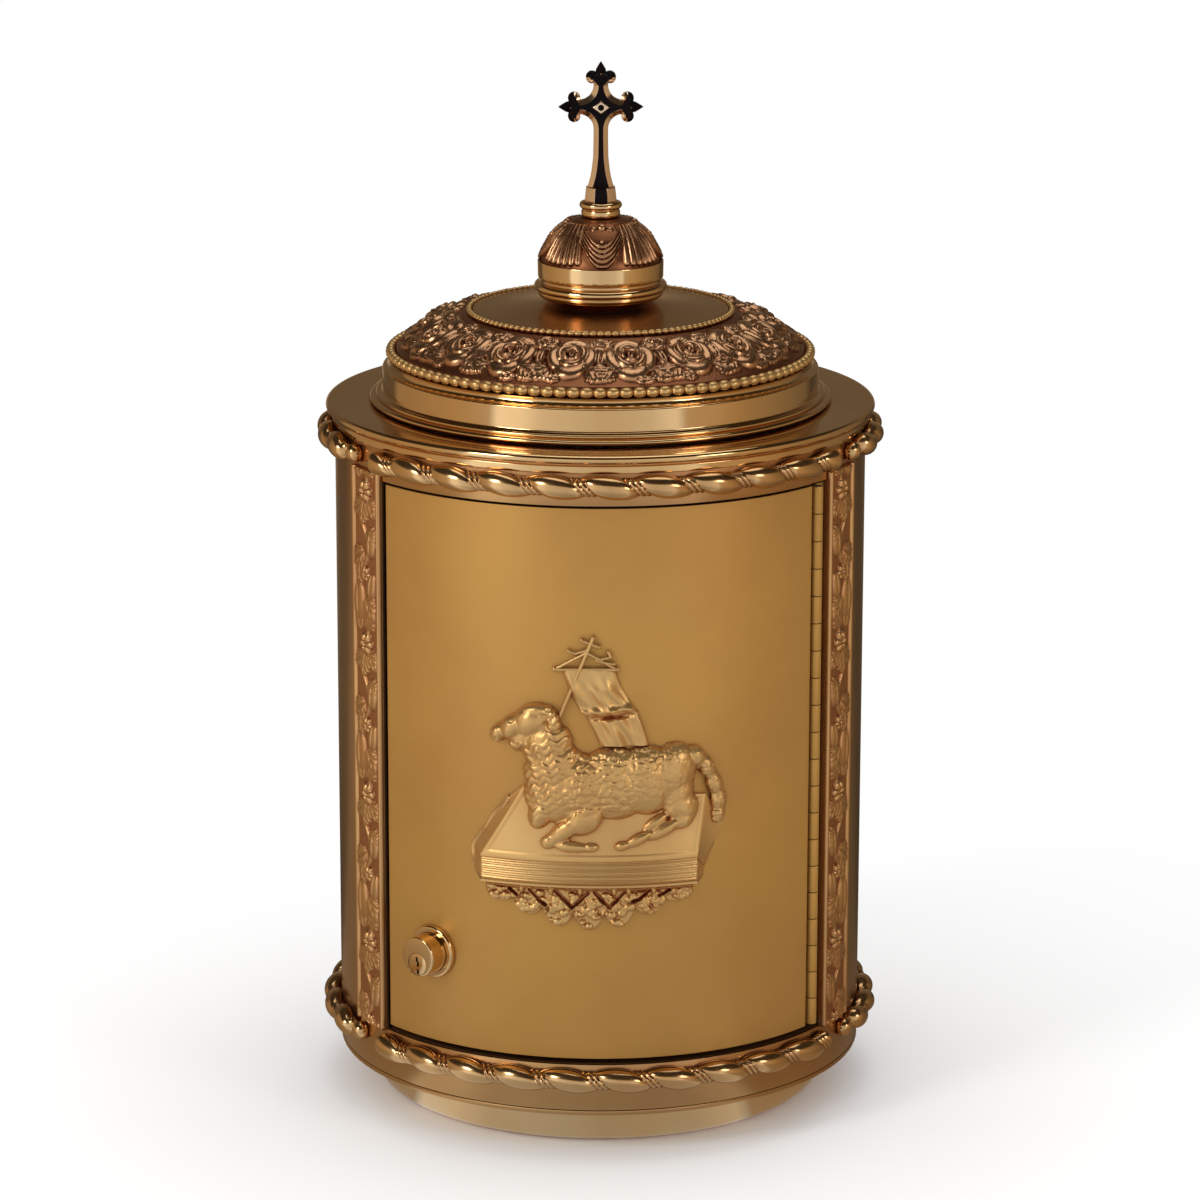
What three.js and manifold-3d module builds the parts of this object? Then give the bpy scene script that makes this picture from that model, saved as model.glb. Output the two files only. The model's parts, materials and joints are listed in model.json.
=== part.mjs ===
// Altar tabernacle: a round safe of gilt brass with a curved door on a piano hinge, a cam lock,
// a lamb relief on the door, rope mouldings, a domed lid with a rose band, and a cross on a knop.
// Millimetres, +Z up. The origin is the centre of the foot on the altar, and the door faces -Y.
// An azimuth is in degrees round Z, 0 at the door's middle and positive to the right of someone
// who faces the door. A radius is measured from the Z axis.

import * as THREE from 'three';
import { mergeVertices } from 'three/addons/utils/BufferGeometryUtils.js';
import Module from 'manifold-3d';

const wasm = await Module();
wasm.setup();

// Clearances
const SEAT_GAP = 0.3;
const RUNNING_GAP = 0.35;

// Cylinder wall and the opening in it
const WALL_RADIUS = 150;
const WALL_THICKNESS = 2.5;
const OPENING_HALF_ANGLE = 54.9;
const OPENING_HEIGHT = 317.5;
const LOWER_RAIL_HEIGHT = 26.7;
const UPPER_RAIL_HEIGHT = 18.2;

// Foot and base plate
const FOOT_HEIGHT = 24;
const FOOT_TOP_RADIUS = 138;
const FOOT_BASE_RADIUS = 120;
const FOOT_RIM_WIDTH = 10;
const BASE_PLATE_THICKNESS = 2.7;
const FOOT_BOLT_COUNT = 3;
const FOOT_BOLT_RADIUS = 3;
const FOOT_BOLT_HEAD_RADIUS = 5.5;
const FOOT_BOLT_HEAD_HEIGHT = 4;
const FOOT_BOLT_DEPTH = 9;
const FOOT_BOLT_WALL = 2;

// Inner floor and ceiling
const FLOOR_THICKNESS = 2.5;
const CEILING_THICKNESS = 2;

// Rope mouldings and the small corner bosses beside them
const ROPE_RADIUS = 6.8;
const ROPE_CENTRE_RADIUS = 154;
const ROPE_SINK = 0.4;
const LOWER_ROPE_DROP = 8;
const UPPER_ROPE_RISE = 11.4;
const FRONT_ROPE_HALF_ANGLE = 55.9;
const BACK_ROPE_START_ANGLE = 67.3;
const BOSS_AZIMUTH = 64.4;
const BOSS_RADIUS = 5.2;
const BOSS_CENTRE_RADIUS = 152.6;

// Floral strips beside the opening
const STRIP_OUTER_ANGLE = 66.4;
const STRIP_FIELD_THICKNESS = 1.6;
const STRIP_EDGE_THICKNESS = 2.8;
const STRIP_EDGE_ANGLE = 1.3;
const STRIP_LOWER_OVERLAP = 0.8;
const STRIP_UPPER_OVERLAP = 4.2;

// Door
const DOOR_LEFT_ANGLE = 53.4;
const DOOR_RIGHT_ANGLE = 49.3;
const DOOR_SILL_GAP = 3.6;
const DOOR_HEAD_GAP = 1.2;
const DOOR_THICKNESS = 2.5;
const STIFFENER_HEIGHT = 8;
const STIFFENER_DEPTH = 5;
const STIFFENER_MARGIN = 5;
const STIFFENER_LEFT_ANGLE = 49.4;
const STIFFENER_RIGHT_ANGLE = 43.4;

// Piano hinge
const HINGE_AZIMUTH = 51.2;
const KNUCKLE_RADIUS = 3;
const KNUCKLE_COUNT = 20;
const KNUCKLE_GAP = 0.4;
const HINGE_PIN_RADIUS = 1.45;
const HINGE_MARGIN = 0.6;
const LEAF_THICKNESS = 1.2;
const LEAF_WIDTH = 18;
const LEAF_RELIEF = 1.7;
const WEB_WIDTH = 2.6;
const HINGE_RIVET_COUNT = 2;
const HINGE_RIVET_RADIUS = 1.6;
const HINGE_RIVET_HEAD_RADIUS = 3;
const HINGE_RIVET_HEAD_HEIGHT = 1.4;
const HINGE_RIVET_OFFSET = 14.5;
const HINGE_RIVET_END_MARGIN = 30;

// Cam lock
const LOCK_AZIMUTH = -39.5;
const LOCK_HEIGHT = 110;
const LOCK_PROJECTION = 14.5;
const LOCK_HOUSING_RADIUS = 11.2;
const LOCK_BODY_DEPTH = 13;
const LOCK_FLANGE_RADIUS = 15;
const LOCK_FLANGE_THICKNESS = 2.6;
const LOCK_NUT_RADIUS = 15.5;
const LOCK_NUT_THICKNESS = 4;
const PLUG_RADIUS = 6.25;
const PLUG_DROP = 4.2;
const PLUG_TAIL = 1.1;
const KEYWAY_HEIGHT = 8.6;
const KEYWAY_WIDTH = 1.3;
const KEYWAY_DEPTH = 5;
const CAM_LENGTH = 39.5;
const CAM_WIDTH = 10;
const CAM_THICKNESS = 2;
const CAM_SCREW_RADIUS = 2;
const CAM_SCREW_HEAD_RADIUS = 4;
const CAM_SCREW_HEAD_HEIGHT = 2;
const CAM_SCREW_GRIP = 6;

// Keeper behind the left jamb
const KEEPER_OUTER_ANGLE = 63.4;
const KEEPER_INNER_ANGLE = 50.9;
const KEEPER_HEIGHT = 34;
const KEEPER_DEPTH = 5;
const KEEPER_LIP_THICKNESS = 1.5;
const KEEPER_SCREW_AZIMUTH = -59.4;
const KEEPER_SCREW_RADIUS = 1.6;
const KEEPER_SCREW_HEAD_RADIUS = 3.2;
const KEEPER_SCREW_HEAD_HEIGHT = 2;
const KEEPER_SCREW_SPACING = 24;

// Cornice
const CORNICE_HEIGHT = 10;
const CORNICE_LIP_RADIUS = 155;
const CORNICE_BAND_RADIUS = 151.8;
const DECK_THICKNESS = 3.5;
const DECK_HOLE_RADIUS = 112;
const SPIGOT_DEPTH = 8;
const SPIGOT_THICKNESS = 3.5;

// Drum and dome
const DRUM_FOOT_RADIUS = 130;
const DRUM_BAND_RADIUS = 123;
const DRUM_HEIGHT = 23.7;
const DRUM_WALL = 2.5;
const DRUM_FLANGE_RADIUS = 114;
const DRUM_LEDGE_RADIUS = 107;
const DRUM_NECK_RADIUS = 118.4;
const DRUM_SCREW_COUNT = 3;
const DRUM_SCREW_RADIUS = 1.6;
const DRUM_SCREW_HEAD_RADIUS = 3.2;
const DRUM_SCREW_HEAD_HEIGHT = 2;
const DRUM_SCREW_CIRCLE = 117;
const OUTER_BEAD_RADIUS = 2.9;
const OUTER_BEAD_CIRCLE = 118.2;
const INNER_BEAD_RADIUS = 1.6;
const INNER_BEAD_CIRCLE = 74;
const ROSE_BAND_RISE = 24.6;
const ROSE_BAND_THICKNESS = 2.5;
const ROSE_COUNT = 14;
const ROSE_RADIUS = 13;
const ROSE_RELIEF = 3.2;
const ROSE_SINK = 1;
const DOME_CAP_RADIUS = 72.1;
const DOME_CAP_THICKNESS = 2;
const DOME_CAP_RISE = 6.8;

// Knop, collar, cross and the stud that ties them down
const KNOP_RADIUS = 39.2;
const KNOP_BAND_RADIUS = 35.2;
const KNOP_NECK_RADIUS = 21;
const KNOP_HEIGHT = 20.7;
const LEAF_DOME_HEIGHT = 25.7;
const LEAF_DOME_WALL = 6.5;
const COLLAR_HEIGHT = 8.7;
const COLLAR_RADIUS = 12.1;
const FERRULE_RADIUS = 9.6;
const FERRULE_HEIGHT = 16;
const CROSS_RISE = 52.7;
const CROSS_ARM_LENGTH = 24;
const CROSS_TOP_LENGTH = 25.5;
const CROSS_HALF_WIDTH = 4.5;
const CROSS_THICKNESS = 6;
const CROSS_BUD_RADIUS = 3.6;
const STUD_RADIUS = 3;
const STUD_TAIL = 9;
const STUD_GRIP = 10;
const STUD_NUT_RADIUS = 6;
const STUD_NUT_HEIGHT = 5;
const STUD_WASHER_RADIUS = 9;
const STUD_WASHER_THICKNESS = 1.6;

// Relief on the door
const SLAB_BOTTOM = 159.5;
const SLAB_DEPTH = 9;
const SLAB_STEPS = 10;
const FRINGE_DEPTH = 5;
const FRINGE_RAIL = 3;
const FRINGE_END_ANGLE = 3.6;
const SCALLOP_HALF_WIDTH = 9.2;
const LAMB_DEPTH = 9.8;
const STAFF_RADIUS = 1.2;
const STAFF_CENTRE = 1.9;
const BANNER_THICKNESS = 1.8;
const RELIEF_POST_RADIUS = 2;
const RELIEF_POST_MASSES = [0, 2];
const RELIEF_POST_RISE = 0.4;
const RELIEF_NUT_RADIUS = 4.6;
const RELIEF_NUT_HEIGHT = 2.6;

// Facets
const WALL_FACETS = 72;
const RING_FACETS = 42;
const KNOP_FACETS = 28;
const ROUND_FACETS = 18;
const PIN_FACETS = 8;
const ARC_STEP = 7;

// Heights that follow from the values above
const BASE_PLATE_Z = FOOT_HEIGHT + SEAT_GAP;
const SHELL_Z = BASE_PLATE_Z + BASE_PLATE_THICKNESS + SEAT_GAP;
const SILL_Z = SHELL_Z + LOWER_RAIL_HEIGHT;
const HEAD_Z = SILL_Z + OPENING_HEIGHT;
const SHELL_TOP_Z = HEAD_Z + UPPER_RAIL_HEIGHT;
const CORNICE_Z = SHELL_TOP_Z + SEAT_GAP;
const DECK_Z = CORNICE_Z + CORNICE_HEIGHT;
const DRUM_Z = DECK_Z + SEAT_GAP;
const LEDGE_Z = DRUM_Z + DRUM_HEIGHT;
const ROSE_BAND_Z = LEDGE_Z + SEAT_GAP;
const SHELF_Z = ROSE_BAND_Z + ROSE_BAND_RISE;
const DOME_CAP_Z = SHELF_Z + SEAT_GAP;
const KNOP_Z = DOME_CAP_Z + DOME_CAP_RISE + SEAT_GAP;
const LEAF_DOME_Z = KNOP_Z + KNOP_HEIGHT + SEAT_GAP;
const COLLAR_Z = LEAF_DOME_Z + LEAF_DOME_HEIGHT + SEAT_GAP;
const FERRULE_Z = COLLAR_Z + COLLAR_HEIGHT + SEAT_GAP;
const CROSS_Z = FERRULE_Z + CROSS_RISE;
const INNER_RADIUS = WALL_RADIUS - WALL_THICKNESS;
const FIT_RADIUS = INNER_RADIUS - SEAT_GAP;
const DOOR_BOTTOM_Z = SILL_Z + DOOR_SILL_GAP;
const DOOR_TOP_Z = HEAD_Z - DOOR_HEAD_GAP;
const DOOR_INNER_RADIUS = WALL_RADIUS - DOOR_THICKNESS;
const DOOR_BACK_RADIUS = DOOR_INNER_RADIUS - SEAT_GAP;
const FACE_RADIUS = WALL_RADIUS + SEAT_GAP;
const LOWER_ROPE_Z = SILL_Z - LOWER_ROPE_DROP;
const UPPER_ROPE_Z = HEAD_Z + UPPER_ROPE_RISE;
const SCREW_HOLE_GAP = 0.3;
const LOCK_FRONT = WALL_RADIUS + LOCK_PROJECTION;
const LOCK_BACK = WALL_RADIUS - LOCK_BODY_DEPTH;
const PLUG_BACK = LOCK_BACK - PLUG_TAIL;
const CAM_FRONT = PLUG_BACK - SEAT_GAP;
const PLUG_HEIGHT = LOCK_HEIGHT - PLUG_DROP;

// Finishes
function finish(name, color, roughness, metalness) {
  return new THREE.MeshStandardMaterial({ name, color, roughness, metalness });
}
const POLISHED = finish('polished_gilt', 0xc8964a, 0.12, 1);
const SATIN = finish('satin_gilt', 0xb08038, 0.35, 1);
const RELIEF = finish('relief_gilt', 0xa8713c, 0.3, 1);
const DARK_BRASS = finish('dark_brass', 0x7a5a2c, 0.5, 1);
const STEEL = finish('steel', 0x9a9a98, 0.35, 1);

// Geometry helpers
function radians(degrees) {
  return THREE.MathUtils.degToRad(degrees);
}

function place(azimuth, radius, z) {
  const a = radians(azimuth);
  return new THREE.Vector3(radius * Math.sin(a), -radius * Math.cos(a), z);
}

// Leaves only position, merges shared vertices, drops collapsed triangles and points faces out.
function closed(geometry) {
  const bare = geometry.clone();
  for (const name of Object.keys(bare.attributes)) {
    if (name !== 'position') bare.deleteAttribute(name);
  }
  bare.morphAttributes = {};
  const merged = mergeVertices(bare, 1e-4);
  const source = merged.index.array;
  const position = merged.attributes.position;
  const index = [];
  for (let i = 0; i < source.length; i += 3) {
    const [a, b, c] = [source[i], source[i + 1], source[i + 2]];
    if (a !== b && b !== c && c !== a) index.push(a, b, c);
  }
  const corner = (i) => new THREE.Vector3().fromBufferAttribute(position, i);
  let volume = 0;
  for (let i = 0; i < index.length; i += 3) {
    const [p, q, r] = [corner(index[i]), corner(index[i + 1]), corner(index[i + 2])];
    volume += p.dot(q.cross(r));
  }
  if (volume < 0) {
    for (let i = 0; i < index.length; i += 3) {
      [index[i + 1], index[i + 2]] = [index[i + 2], index[i + 1]];
    }
  }
  merged.setIndex(index);
  return merged;
}

function toSolid(geometry) {
  const clean = closed(geometry);
  const mesh = new wasm.Mesh({
    numProp: 3,
    vertProperties: new Float32Array(clean.attributes.position.array),
    triVerts: new Uint32Array(clean.index.array),
  });
  return new wasm.Manifold(mesh);
}

function toGeometry(solid) {
  const mesh = solid.getMesh();
  const geometry = new THREE.BufferGeometry();
  geometry.setAttribute('position', new THREE.BufferAttribute(new Float32Array(mesh.vertProperties), 3));
  geometry.setIndex(Array.from(mesh.triVerts));
  return geometry;
}

function cut(geometry, ...tools) {
  let solid = toSolid(geometry);
  for (const tool of tools) solid = solid.subtract(toSolid(tool));
  return toGeometry(solid);
}

function join(...pieces) {
  let solid = toSolid(pieces[0]);
  for (const piece of pieces.slice(1)) solid = solid.add(toSolid(piece));
  return toGeometry(solid);
}

// Turns a closed outline of [radius, z] points round the Z axis.
function turned(outline, facets = RING_FACETS) {
  const points = [...outline, outline[0]].map(([r, z]) => new THREE.Vector2(r, z));
  return closed(new THREE.LatheGeometry(points, facets).rotateX(Math.PI / 2));
}

function disc(radius, z0, z1, facets = ROUND_FACETS) {
  return turned([[0, z0], [radius, z0], [radius, z1], [0, z1]], facets);
}

// Joins a row of equal sections, each a ring of points, into one closed body with flat ends.
function loft(sections, outline) {
  const size = sections[0].length;
  const vertices = sections.flat().flatMap((p) => p.toArray());
  const index = [];
  for (let s = 0; s + 1 < sections.length; s += 1) {
    for (let k = 0; k < size; k += 1) {
      const a = s * size + k;
      const b = s * size + ((k + 1) % size);
      index.push(a, b, b + size, a, b + size, a + size);
    }
  }
  const last = (sections.length - 1) * size;
  for (const [a, b, c] of THREE.ShapeUtils.triangulateShape(outline, [])) {
    index.push(c, b, a, last + a, last + b, last + c);
  }
  const geometry = new THREE.BufferGeometry();
  geometry.setAttribute('position', new THREE.Float32BufferAttribute(vertices, 3));
  geometry.setIndex(index);
  return closed(geometry);
}

// Sweeps a section of [radius, z] points through an arc.
function sweptArc(section, from, to, step = ARC_STEP) {
  const count = Math.max(1, Math.ceil(Math.abs(to - from) / step));
  const sections = [];
  for (let i = 0; i <= count; i += 1) {
    const azimuth = from + ((to - from) * i) / count;
    sections.push(section.map(([r, z]) => place(azimuth, r, z)));
  }
  return loft(sections, section.map(([r, z]) => new THREE.Vector2(r, z)));
}

function arcPlate(from, to, r0, r1, z0, z1, step = ARC_STEP) {
  return sweptArc([[r0, z0], [r1, z0], [r1, z1], [r0, z1]], from, to, step);
}

// Stands a geometry on the wall: its +Z points outwards from the axis and its +Y up.
function facing(geometry, azimuth, z) {
  const a = radians(azimuth);
  const across = new THREE.Vector3(Math.cos(a), Math.sin(a), 0);
  const up = new THREE.Vector3(0, 0, 1);
  const out = new THREE.Vector3(Math.sin(a), -Math.cos(a), 0);
  const matrix = new THREE.Matrix4().makeBasis(across, up, out).setPosition(0, 0, z);
  return closed(geometry.clone().applyMatrix4(matrix));
}

function radialPin(azimuth, z, radius, r0, r1, facets = ROUND_FACETS) {
  return facing(disc(radius, r0, r1, facets), azimuth, z);
}

function ellipsoid(azimuth, z, halfWidth, halfHeight, depth, tilt = 0) {
  const ball = new THREE.SphereGeometry(1, 10, 6).scale(halfWidth, halfHeight, depth);
  ball.rotateZ(radians(tilt)).translate(0, 0, FACE_RADIUS);
  return facing(ball, azimuth, z);
}

function rodBetween(start, end, radius, facets = 8) {
  const along = new THREE.Vector3().subVectors(end, start);
  const rod = new THREE.CylinderGeometry(radius, radius, along.length(), facets);
  const turn = new THREE.Quaternion().setFromUnitVectors(new THREE.Vector3(0, 1, 0), along.clone().normalize());
  rod.applyQuaternion(turn);
  rod.translate(...start.clone().add(end).multiplyScalar(0.5).toArray());
  return rod;
}

function aroundAxis(count, radius, make, start = 0) {
  return Array.from({ length: count }, (_, i) => {
    const p = place(start + (360 * i) / count, radius, 0);
    return make(i + 1).translate(p.x, p.y, 0);
  });
}

// Model tree: the door's group stands on the hinge's axis, and the lock's group on the plug's
const HINGE_AXIS = place(HINGE_AZIMUTH, WALL_RADIUS, 0);
const tabernacle = new THREE.Group();
const door = new THREE.Group();
const lockTurn = new THREE.Group();
tabernacle.name = 'tabernacle';
door.name = 'door';
lockTurn.name = 'lock';
door.position.copy(HINGE_AXIS);
lockTurn.position.copy(place(LOCK_AZIMUTH, WALL_RADIUS, PLUG_HEIGHT)).sub(HINGE_AXIS);
door.add(lockTurn);
tabernacle.add(door);

// Geometry is drawn in the cabinet's frame, and moved back by the place of the group it goes in.
function add(name, geometry, material, group = tabernacle) {
  const origin = group.getWorldPosition(new THREE.Vector3()).negate();
  const mesh = new THREE.Mesh(geometry.translate(...origin.toArray()), material);
  mesh.name = name;
  group.add(mesh);
}

// Foot, base plate and the bolts that go down through the plate into the foot
// Outer face of the foot: shares of the way from its base radius to its top radius, and of its height
const FOOT_CURVE = [[0, 0], [0.34, 0.1], [0.53, 0.29], [0.7, 0.54], [0.85, 0.79], [1, 1]];
const FOOT_HOLE_RADIUS = FOOT_BOLT_RADIUS + SCREW_HOLE_GAP;
const FOOT_HOLE_BOTTOM = FOOT_HEIGHT - FOOT_BOLT_DEPTH - SEAT_GAP;

function footRadius(z) {
  const share = z / FOOT_HEIGHT;
  const i = FOOT_CURVE.findIndex(([, height], k) => k > 0 && height >= share);
  const [[low, lowHeight], [high, highHeight]] = [FOOT_CURVE[i - 1], FOOT_CURVE[i]];
  const out = low + ((high - low) * (share - lowHeight)) / (highHeight - lowHeight);
  return FOOT_BASE_RADIUS + (FOOT_TOP_RADIUS - FOOT_BASE_RADIUS) * out;
}

// The bolts stand as far out as the foot's curved face lets their holes go.
const FOOT_BOLT_CIRCLE = footRadius(FOOT_HOLE_BOTTOM) - FOOT_BOLT_WALL - FOOT_HOLE_RADIUS;

function makeFoot() {
  const bulge = FOOT_TOP_RADIUS - FOOT_BASE_RADIUS;
  const ring = turned([
    ...FOOT_CURVE.map(([out, height]) => [FOOT_BASE_RADIUS + bulge * out, FOOT_HEIGHT * height]),
    [FOOT_BOLT_CIRCLE - FOOT_HOLE_RADIUS - FOOT_BOLT_WALL, FOOT_HEIGHT],
    [FOOT_BASE_RADIUS - FOOT_RIM_WIDTH, 0],
  ]);
  const hole = () => disc(FOOT_HOLE_RADIUS, FOOT_HOLE_BOTTOM, FOOT_HEIGHT + 1, PIN_FACETS);
  add('foot_ring', cut(ring, ...aroundAxis(FOOT_BOLT_COUNT, FOOT_BOLT_CIRCLE, hole)), POLISHED);
}

function makeBasePlate() {
  const top = BASE_PLATE_Z + BASE_PLATE_THICKNESS;
  const plate = disc(WALL_RADIUS, BASE_PLATE_Z, top, WALL_FACETS);
  const hole = () => disc(FOOT_HOLE_RADIUS, BASE_PLATE_Z - 1, top + 1, PIN_FACETS);
  add('base_plate', cut(plate, ...aroundAxis(FOOT_BOLT_COUNT, FOOT_BOLT_CIRCLE, hole)), SATIN);
}

function makeFootBolts() {
  const seat = BASE_PLATE_Z + BASE_PLATE_THICKNESS + SEAT_GAP;
  const bolt = () => join(
    disc(FOOT_BOLT_HEAD_RADIUS, seat, seat + FOOT_BOLT_HEAD_HEIGHT, 6),
    disc(FOOT_BOLT_RADIUS, FOOT_HEIGHT - FOOT_BOLT_DEPTH, seat + 1, PIN_FACETS),
  );
  aroundAxis(FOOT_BOLT_COUNT, FOOT_BOLT_CIRCLE, bolt).forEach((geometry, i) => {
    add(`foot_bolt_${i + 1}`, geometry, STEEL);
  });
}

// Cylinder wall, inner floor and ceiling
const RIVET_AZIMUTH = HINGE_AZIMUTH + THREE.MathUtils.radToDeg(HINGE_RIVET_OFFSET / WALL_RADIUS);

function rivetHeights() {
  const low = SILL_Z + HINGE_RIVET_END_MARGIN;
  const high = HEAD_Z - HINGE_RIVET_END_MARGIN;
  const gaps = HINGE_RIVET_COUNT - 1;
  return Array.from({ length: HINGE_RIVET_COUNT }, (_, i) => low + ((high - low) * i) / gaps);
}

function keeperScrewHeights() {
  return [PLUG_HEIGHT - KEEPER_SCREW_SPACING / 2, PLUG_HEIGHT + KEEPER_SCREW_SPACING / 2];
}

function makeShell() {
  const tube = turned([
    [INNER_RADIUS, SHELL_Z],
    [WALL_RADIUS, SHELL_Z],
    [WALL_RADIUS, SHELL_TOP_Z],
    [INNER_RADIUS, SHELL_TOP_Z],
  ], WALL_FACETS);
  const opening = arcPlate(
    -OPENING_HALF_ANGLE, OPENING_HALF_ANGLE, INNER_RADIUS - 10, WALL_RADIUS + 10, SILL_Z, HEAD_Z,
  );
  const rivetHoles = rivetHeights().map((z) => radialPin(
    RIVET_AZIMUTH, z, HINGE_RIVET_RADIUS + SCREW_HOLE_GAP, INNER_RADIUS - 5, WALL_RADIUS + 5, PIN_FACETS,
  ));
  const screwHoles = keeperScrewHeights().map((z) => radialPin(
    KEEPER_SCREW_AZIMUTH, z, KEEPER_SCREW_RADIUS + SCREW_HOLE_GAP, INNER_RADIUS - 5, WALL_RADIUS + 5, PIN_FACETS,
  ));
  add('body_shell', cut(tube, opening, ...rivetHoles, ...screwHoles), SATIN);
}

function makeFloor() {
  add('floor_plate', disc(FIT_RADIUS, SILL_Z - FLOOR_THICKNESS, SILL_Z, RING_FACETS), SATIN);
}

function makeCeiling() {
  const top = CORNICE_Z - SPIGOT_DEPTH - SEAT_GAP;
  add('ceiling_plate', disc(FIT_RADIUS, top - CEILING_THICKNESS, top, RING_FACETS), SATIN);
}

// Rope mouldings, bosses and strips on the wall
function ropeSection(z) {
  const seat = FACE_RADIUS + ROPE_SINK / 4;
  const half = Math.acos((seat - ROPE_CENTRE_RADIUS) / ROPE_RADIUS);
  const count = 8;
  return Array.from({ length: count + 1 }, (_, i) => {
    const a = -half + (2 * half * i) / count;
    return [ROPE_CENTRE_RADIUS + ROPE_RADIUS * Math.cos(a), z + ROPE_RADIUS * Math.sin(a)];
  });
}

function makeRopes() {
  for (const [level, z] of [['bottom', LOWER_ROPE_Z], ['top', UPPER_ROPE_Z]]) {
    const section = ropeSection(z);
    const front = sweptArc(section, -FRONT_ROPE_HALF_ANGLE, FRONT_ROPE_HALF_ANGLE);
    const back = sweptArc(section, BACK_ROPE_START_ANGLE, 360 - BACK_ROPE_START_ANGLE);
    add(`${level}_front_rope`, front, POLISHED);
    add(`${level}_back_rope`, back, POLISHED);
    for (const [side, sign] of [['left', -1], ['right', 1]]) {
      const ball = new THREE.SphereGeometry(BOSS_RADIUS, 10, 6);
      ball.translate(0, 0, BOSS_CENTRE_RADIUS);
      const boss = facing(ball, sign * BOSS_AZIMUTH, z);
      const wall = disc(FACE_RADIUS, z - 2 * BOSS_RADIUS, z + 2 * BOSS_RADIUS, WALL_FACETS);
      add(`${level}_${side}_boss`, cut(boss, wall), POLISHED);
    }
  }
}

function makeStrips() {
  const low = SILL_Z - STRIP_LOWER_OVERLAP;
  const high = HEAD_Z + STRIP_UPPER_OVERLAP;
  const inner = OPENING_HALF_ANGLE;
  const outer = STRIP_OUTER_ANGLE;
  const field = FACE_RADIUS + STRIP_FIELD_THICKNESS;
  const edge = FACE_RADIUS + STRIP_EDGE_THICKNESS;
  for (const [side, sign] of [['left', -1], ['right', 1]]) {
    const strip = join(
      arcPlate(sign * inner, sign * outer, FACE_RADIUS, field, low, high),
      arcPlate(sign * inner, sign * (inner + STRIP_EDGE_ANGLE), FACE_RADIUS, edge, low, high),
      arcPlate(sign * (outer - STRIP_EDGE_ANGLE), sign * outer, FACE_RADIUS, edge, low, high),
    );
    add(`${side}_floral_strip`, strip, RELIEF);
  }
}

// Piano hinge: two leaves with interleaved knuckles on one pin
const HINGE_LOW_Z = DOOR_BOTTOM_Z + HINGE_MARGIN;
const HINGE_HIGH_Z = DOOR_TOP_Z - HINGE_MARGIN;
const KNUCKLE_PITCH = (HINGE_HIGH_Z - HINGE_LOW_Z) / KNUCKLE_COUNT;
const LEAF_OUTER_RADIUS = FIT_RADIUS;
const LEAF_INNER_RADIUS = LEAF_OUTER_RADIUS - LEAF_THICKNESS;

function alongWall(distance) {
  return THREE.MathUtils.radToDeg(distance / WALL_RADIUS);
}

function hingeLeaf(side, firstKnuckle) {
  const near = HINGE_AZIMUTH + side * alongWall(LEAF_RELIEF);
  const far = HINGE_AZIMUTH + side * alongWall(LEAF_WIDTH);
  const parts = [arcPlate(near, far, LEAF_INNER_RADIUS, LEAF_OUTER_RADIUS, HINGE_LOW_Z, HINGE_HIGH_Z)];
  const webInner = LEAF_INNER_RADIUS;
  const webOuter = WALL_RADIUS - HINGE_PIN_RADIUS;
  for (let i = firstKnuckle; i < KNUCKLE_COUNT; i += 2) {
    const z0 = HINGE_LOW_Z + i * KNUCKLE_PITCH + KNUCKLE_GAP / 2;
    const z1 = z0 + KNUCKLE_PITCH - KNUCKLE_GAP;
    const barrel = disc(KNUCKLE_RADIUS, z0, z1, PIN_FACETS).translate(HINGE_AXIS.x, HINGE_AXIS.y, 0);
    const webFar = HINGE_AZIMUTH + side * alongWall(WEB_WIDTH);
    parts.push(barrel, arcPlate(HINGE_AZIMUTH, webFar, webInner, webOuter, z0, z1));
  }
  const bore = disc(HINGE_PIN_RADIUS + RUNNING_GAP, HINGE_LOW_Z - 1, HINGE_HIGH_Z + 1, PIN_FACETS);
  return [join(...parts), bore.translate(HINGE_AXIS.x, HINGE_AXIS.y, 0)];
}

function makeHinge() {
  const [frameLeaf, bore] = hingeLeaf(1, 0);
  const rivetHoles = rivetHeights().map((z) => radialPin(
    RIVET_AZIMUTH, z, HINGE_RIVET_RADIUS + SCREW_HOLE_GAP, LEAF_INNER_RADIUS - 5, WALL_RADIUS, PIN_FACETS,
  ));
  add('hinge_leaf_frame', cut(frameLeaf, bore, ...rivetHoles), SATIN);
  const [doorLeaf, doorBore] = hingeLeaf(-1, 1);
  add('hinge_leaf_door', cut(doorLeaf, doorBore), SATIN, door);
  const pin = disc(HINGE_PIN_RADIUS, HINGE_LOW_Z, HINGE_HIGH_Z, PIN_FACETS);
  add('hinge_pin', pin.translate(HINGE_AXIS.x, HINGE_AXIS.y, 0), STEEL);
  rivetHeights().forEach((z, i) => {
    const headTop = LEAF_INNER_RADIUS - SEAT_GAP;
    const headBottom = headTop - HINGE_RIVET_HEAD_HEIGHT;
    const head = radialPin(RIVET_AZIMUTH, z, HINGE_RIVET_HEAD_RADIUS, headBottom, headTop, PIN_FACETS);
    const shank = radialPin(RIVET_AZIMUTH, z, HINGE_RIVET_RADIUS, headBottom, WALL_RADIUS - SEAT_GAP, PIN_FACETS);
    add(`hinge_rivet_${i + 1}`, join(head, shank), DARK_BRASS);
  });
}

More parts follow.
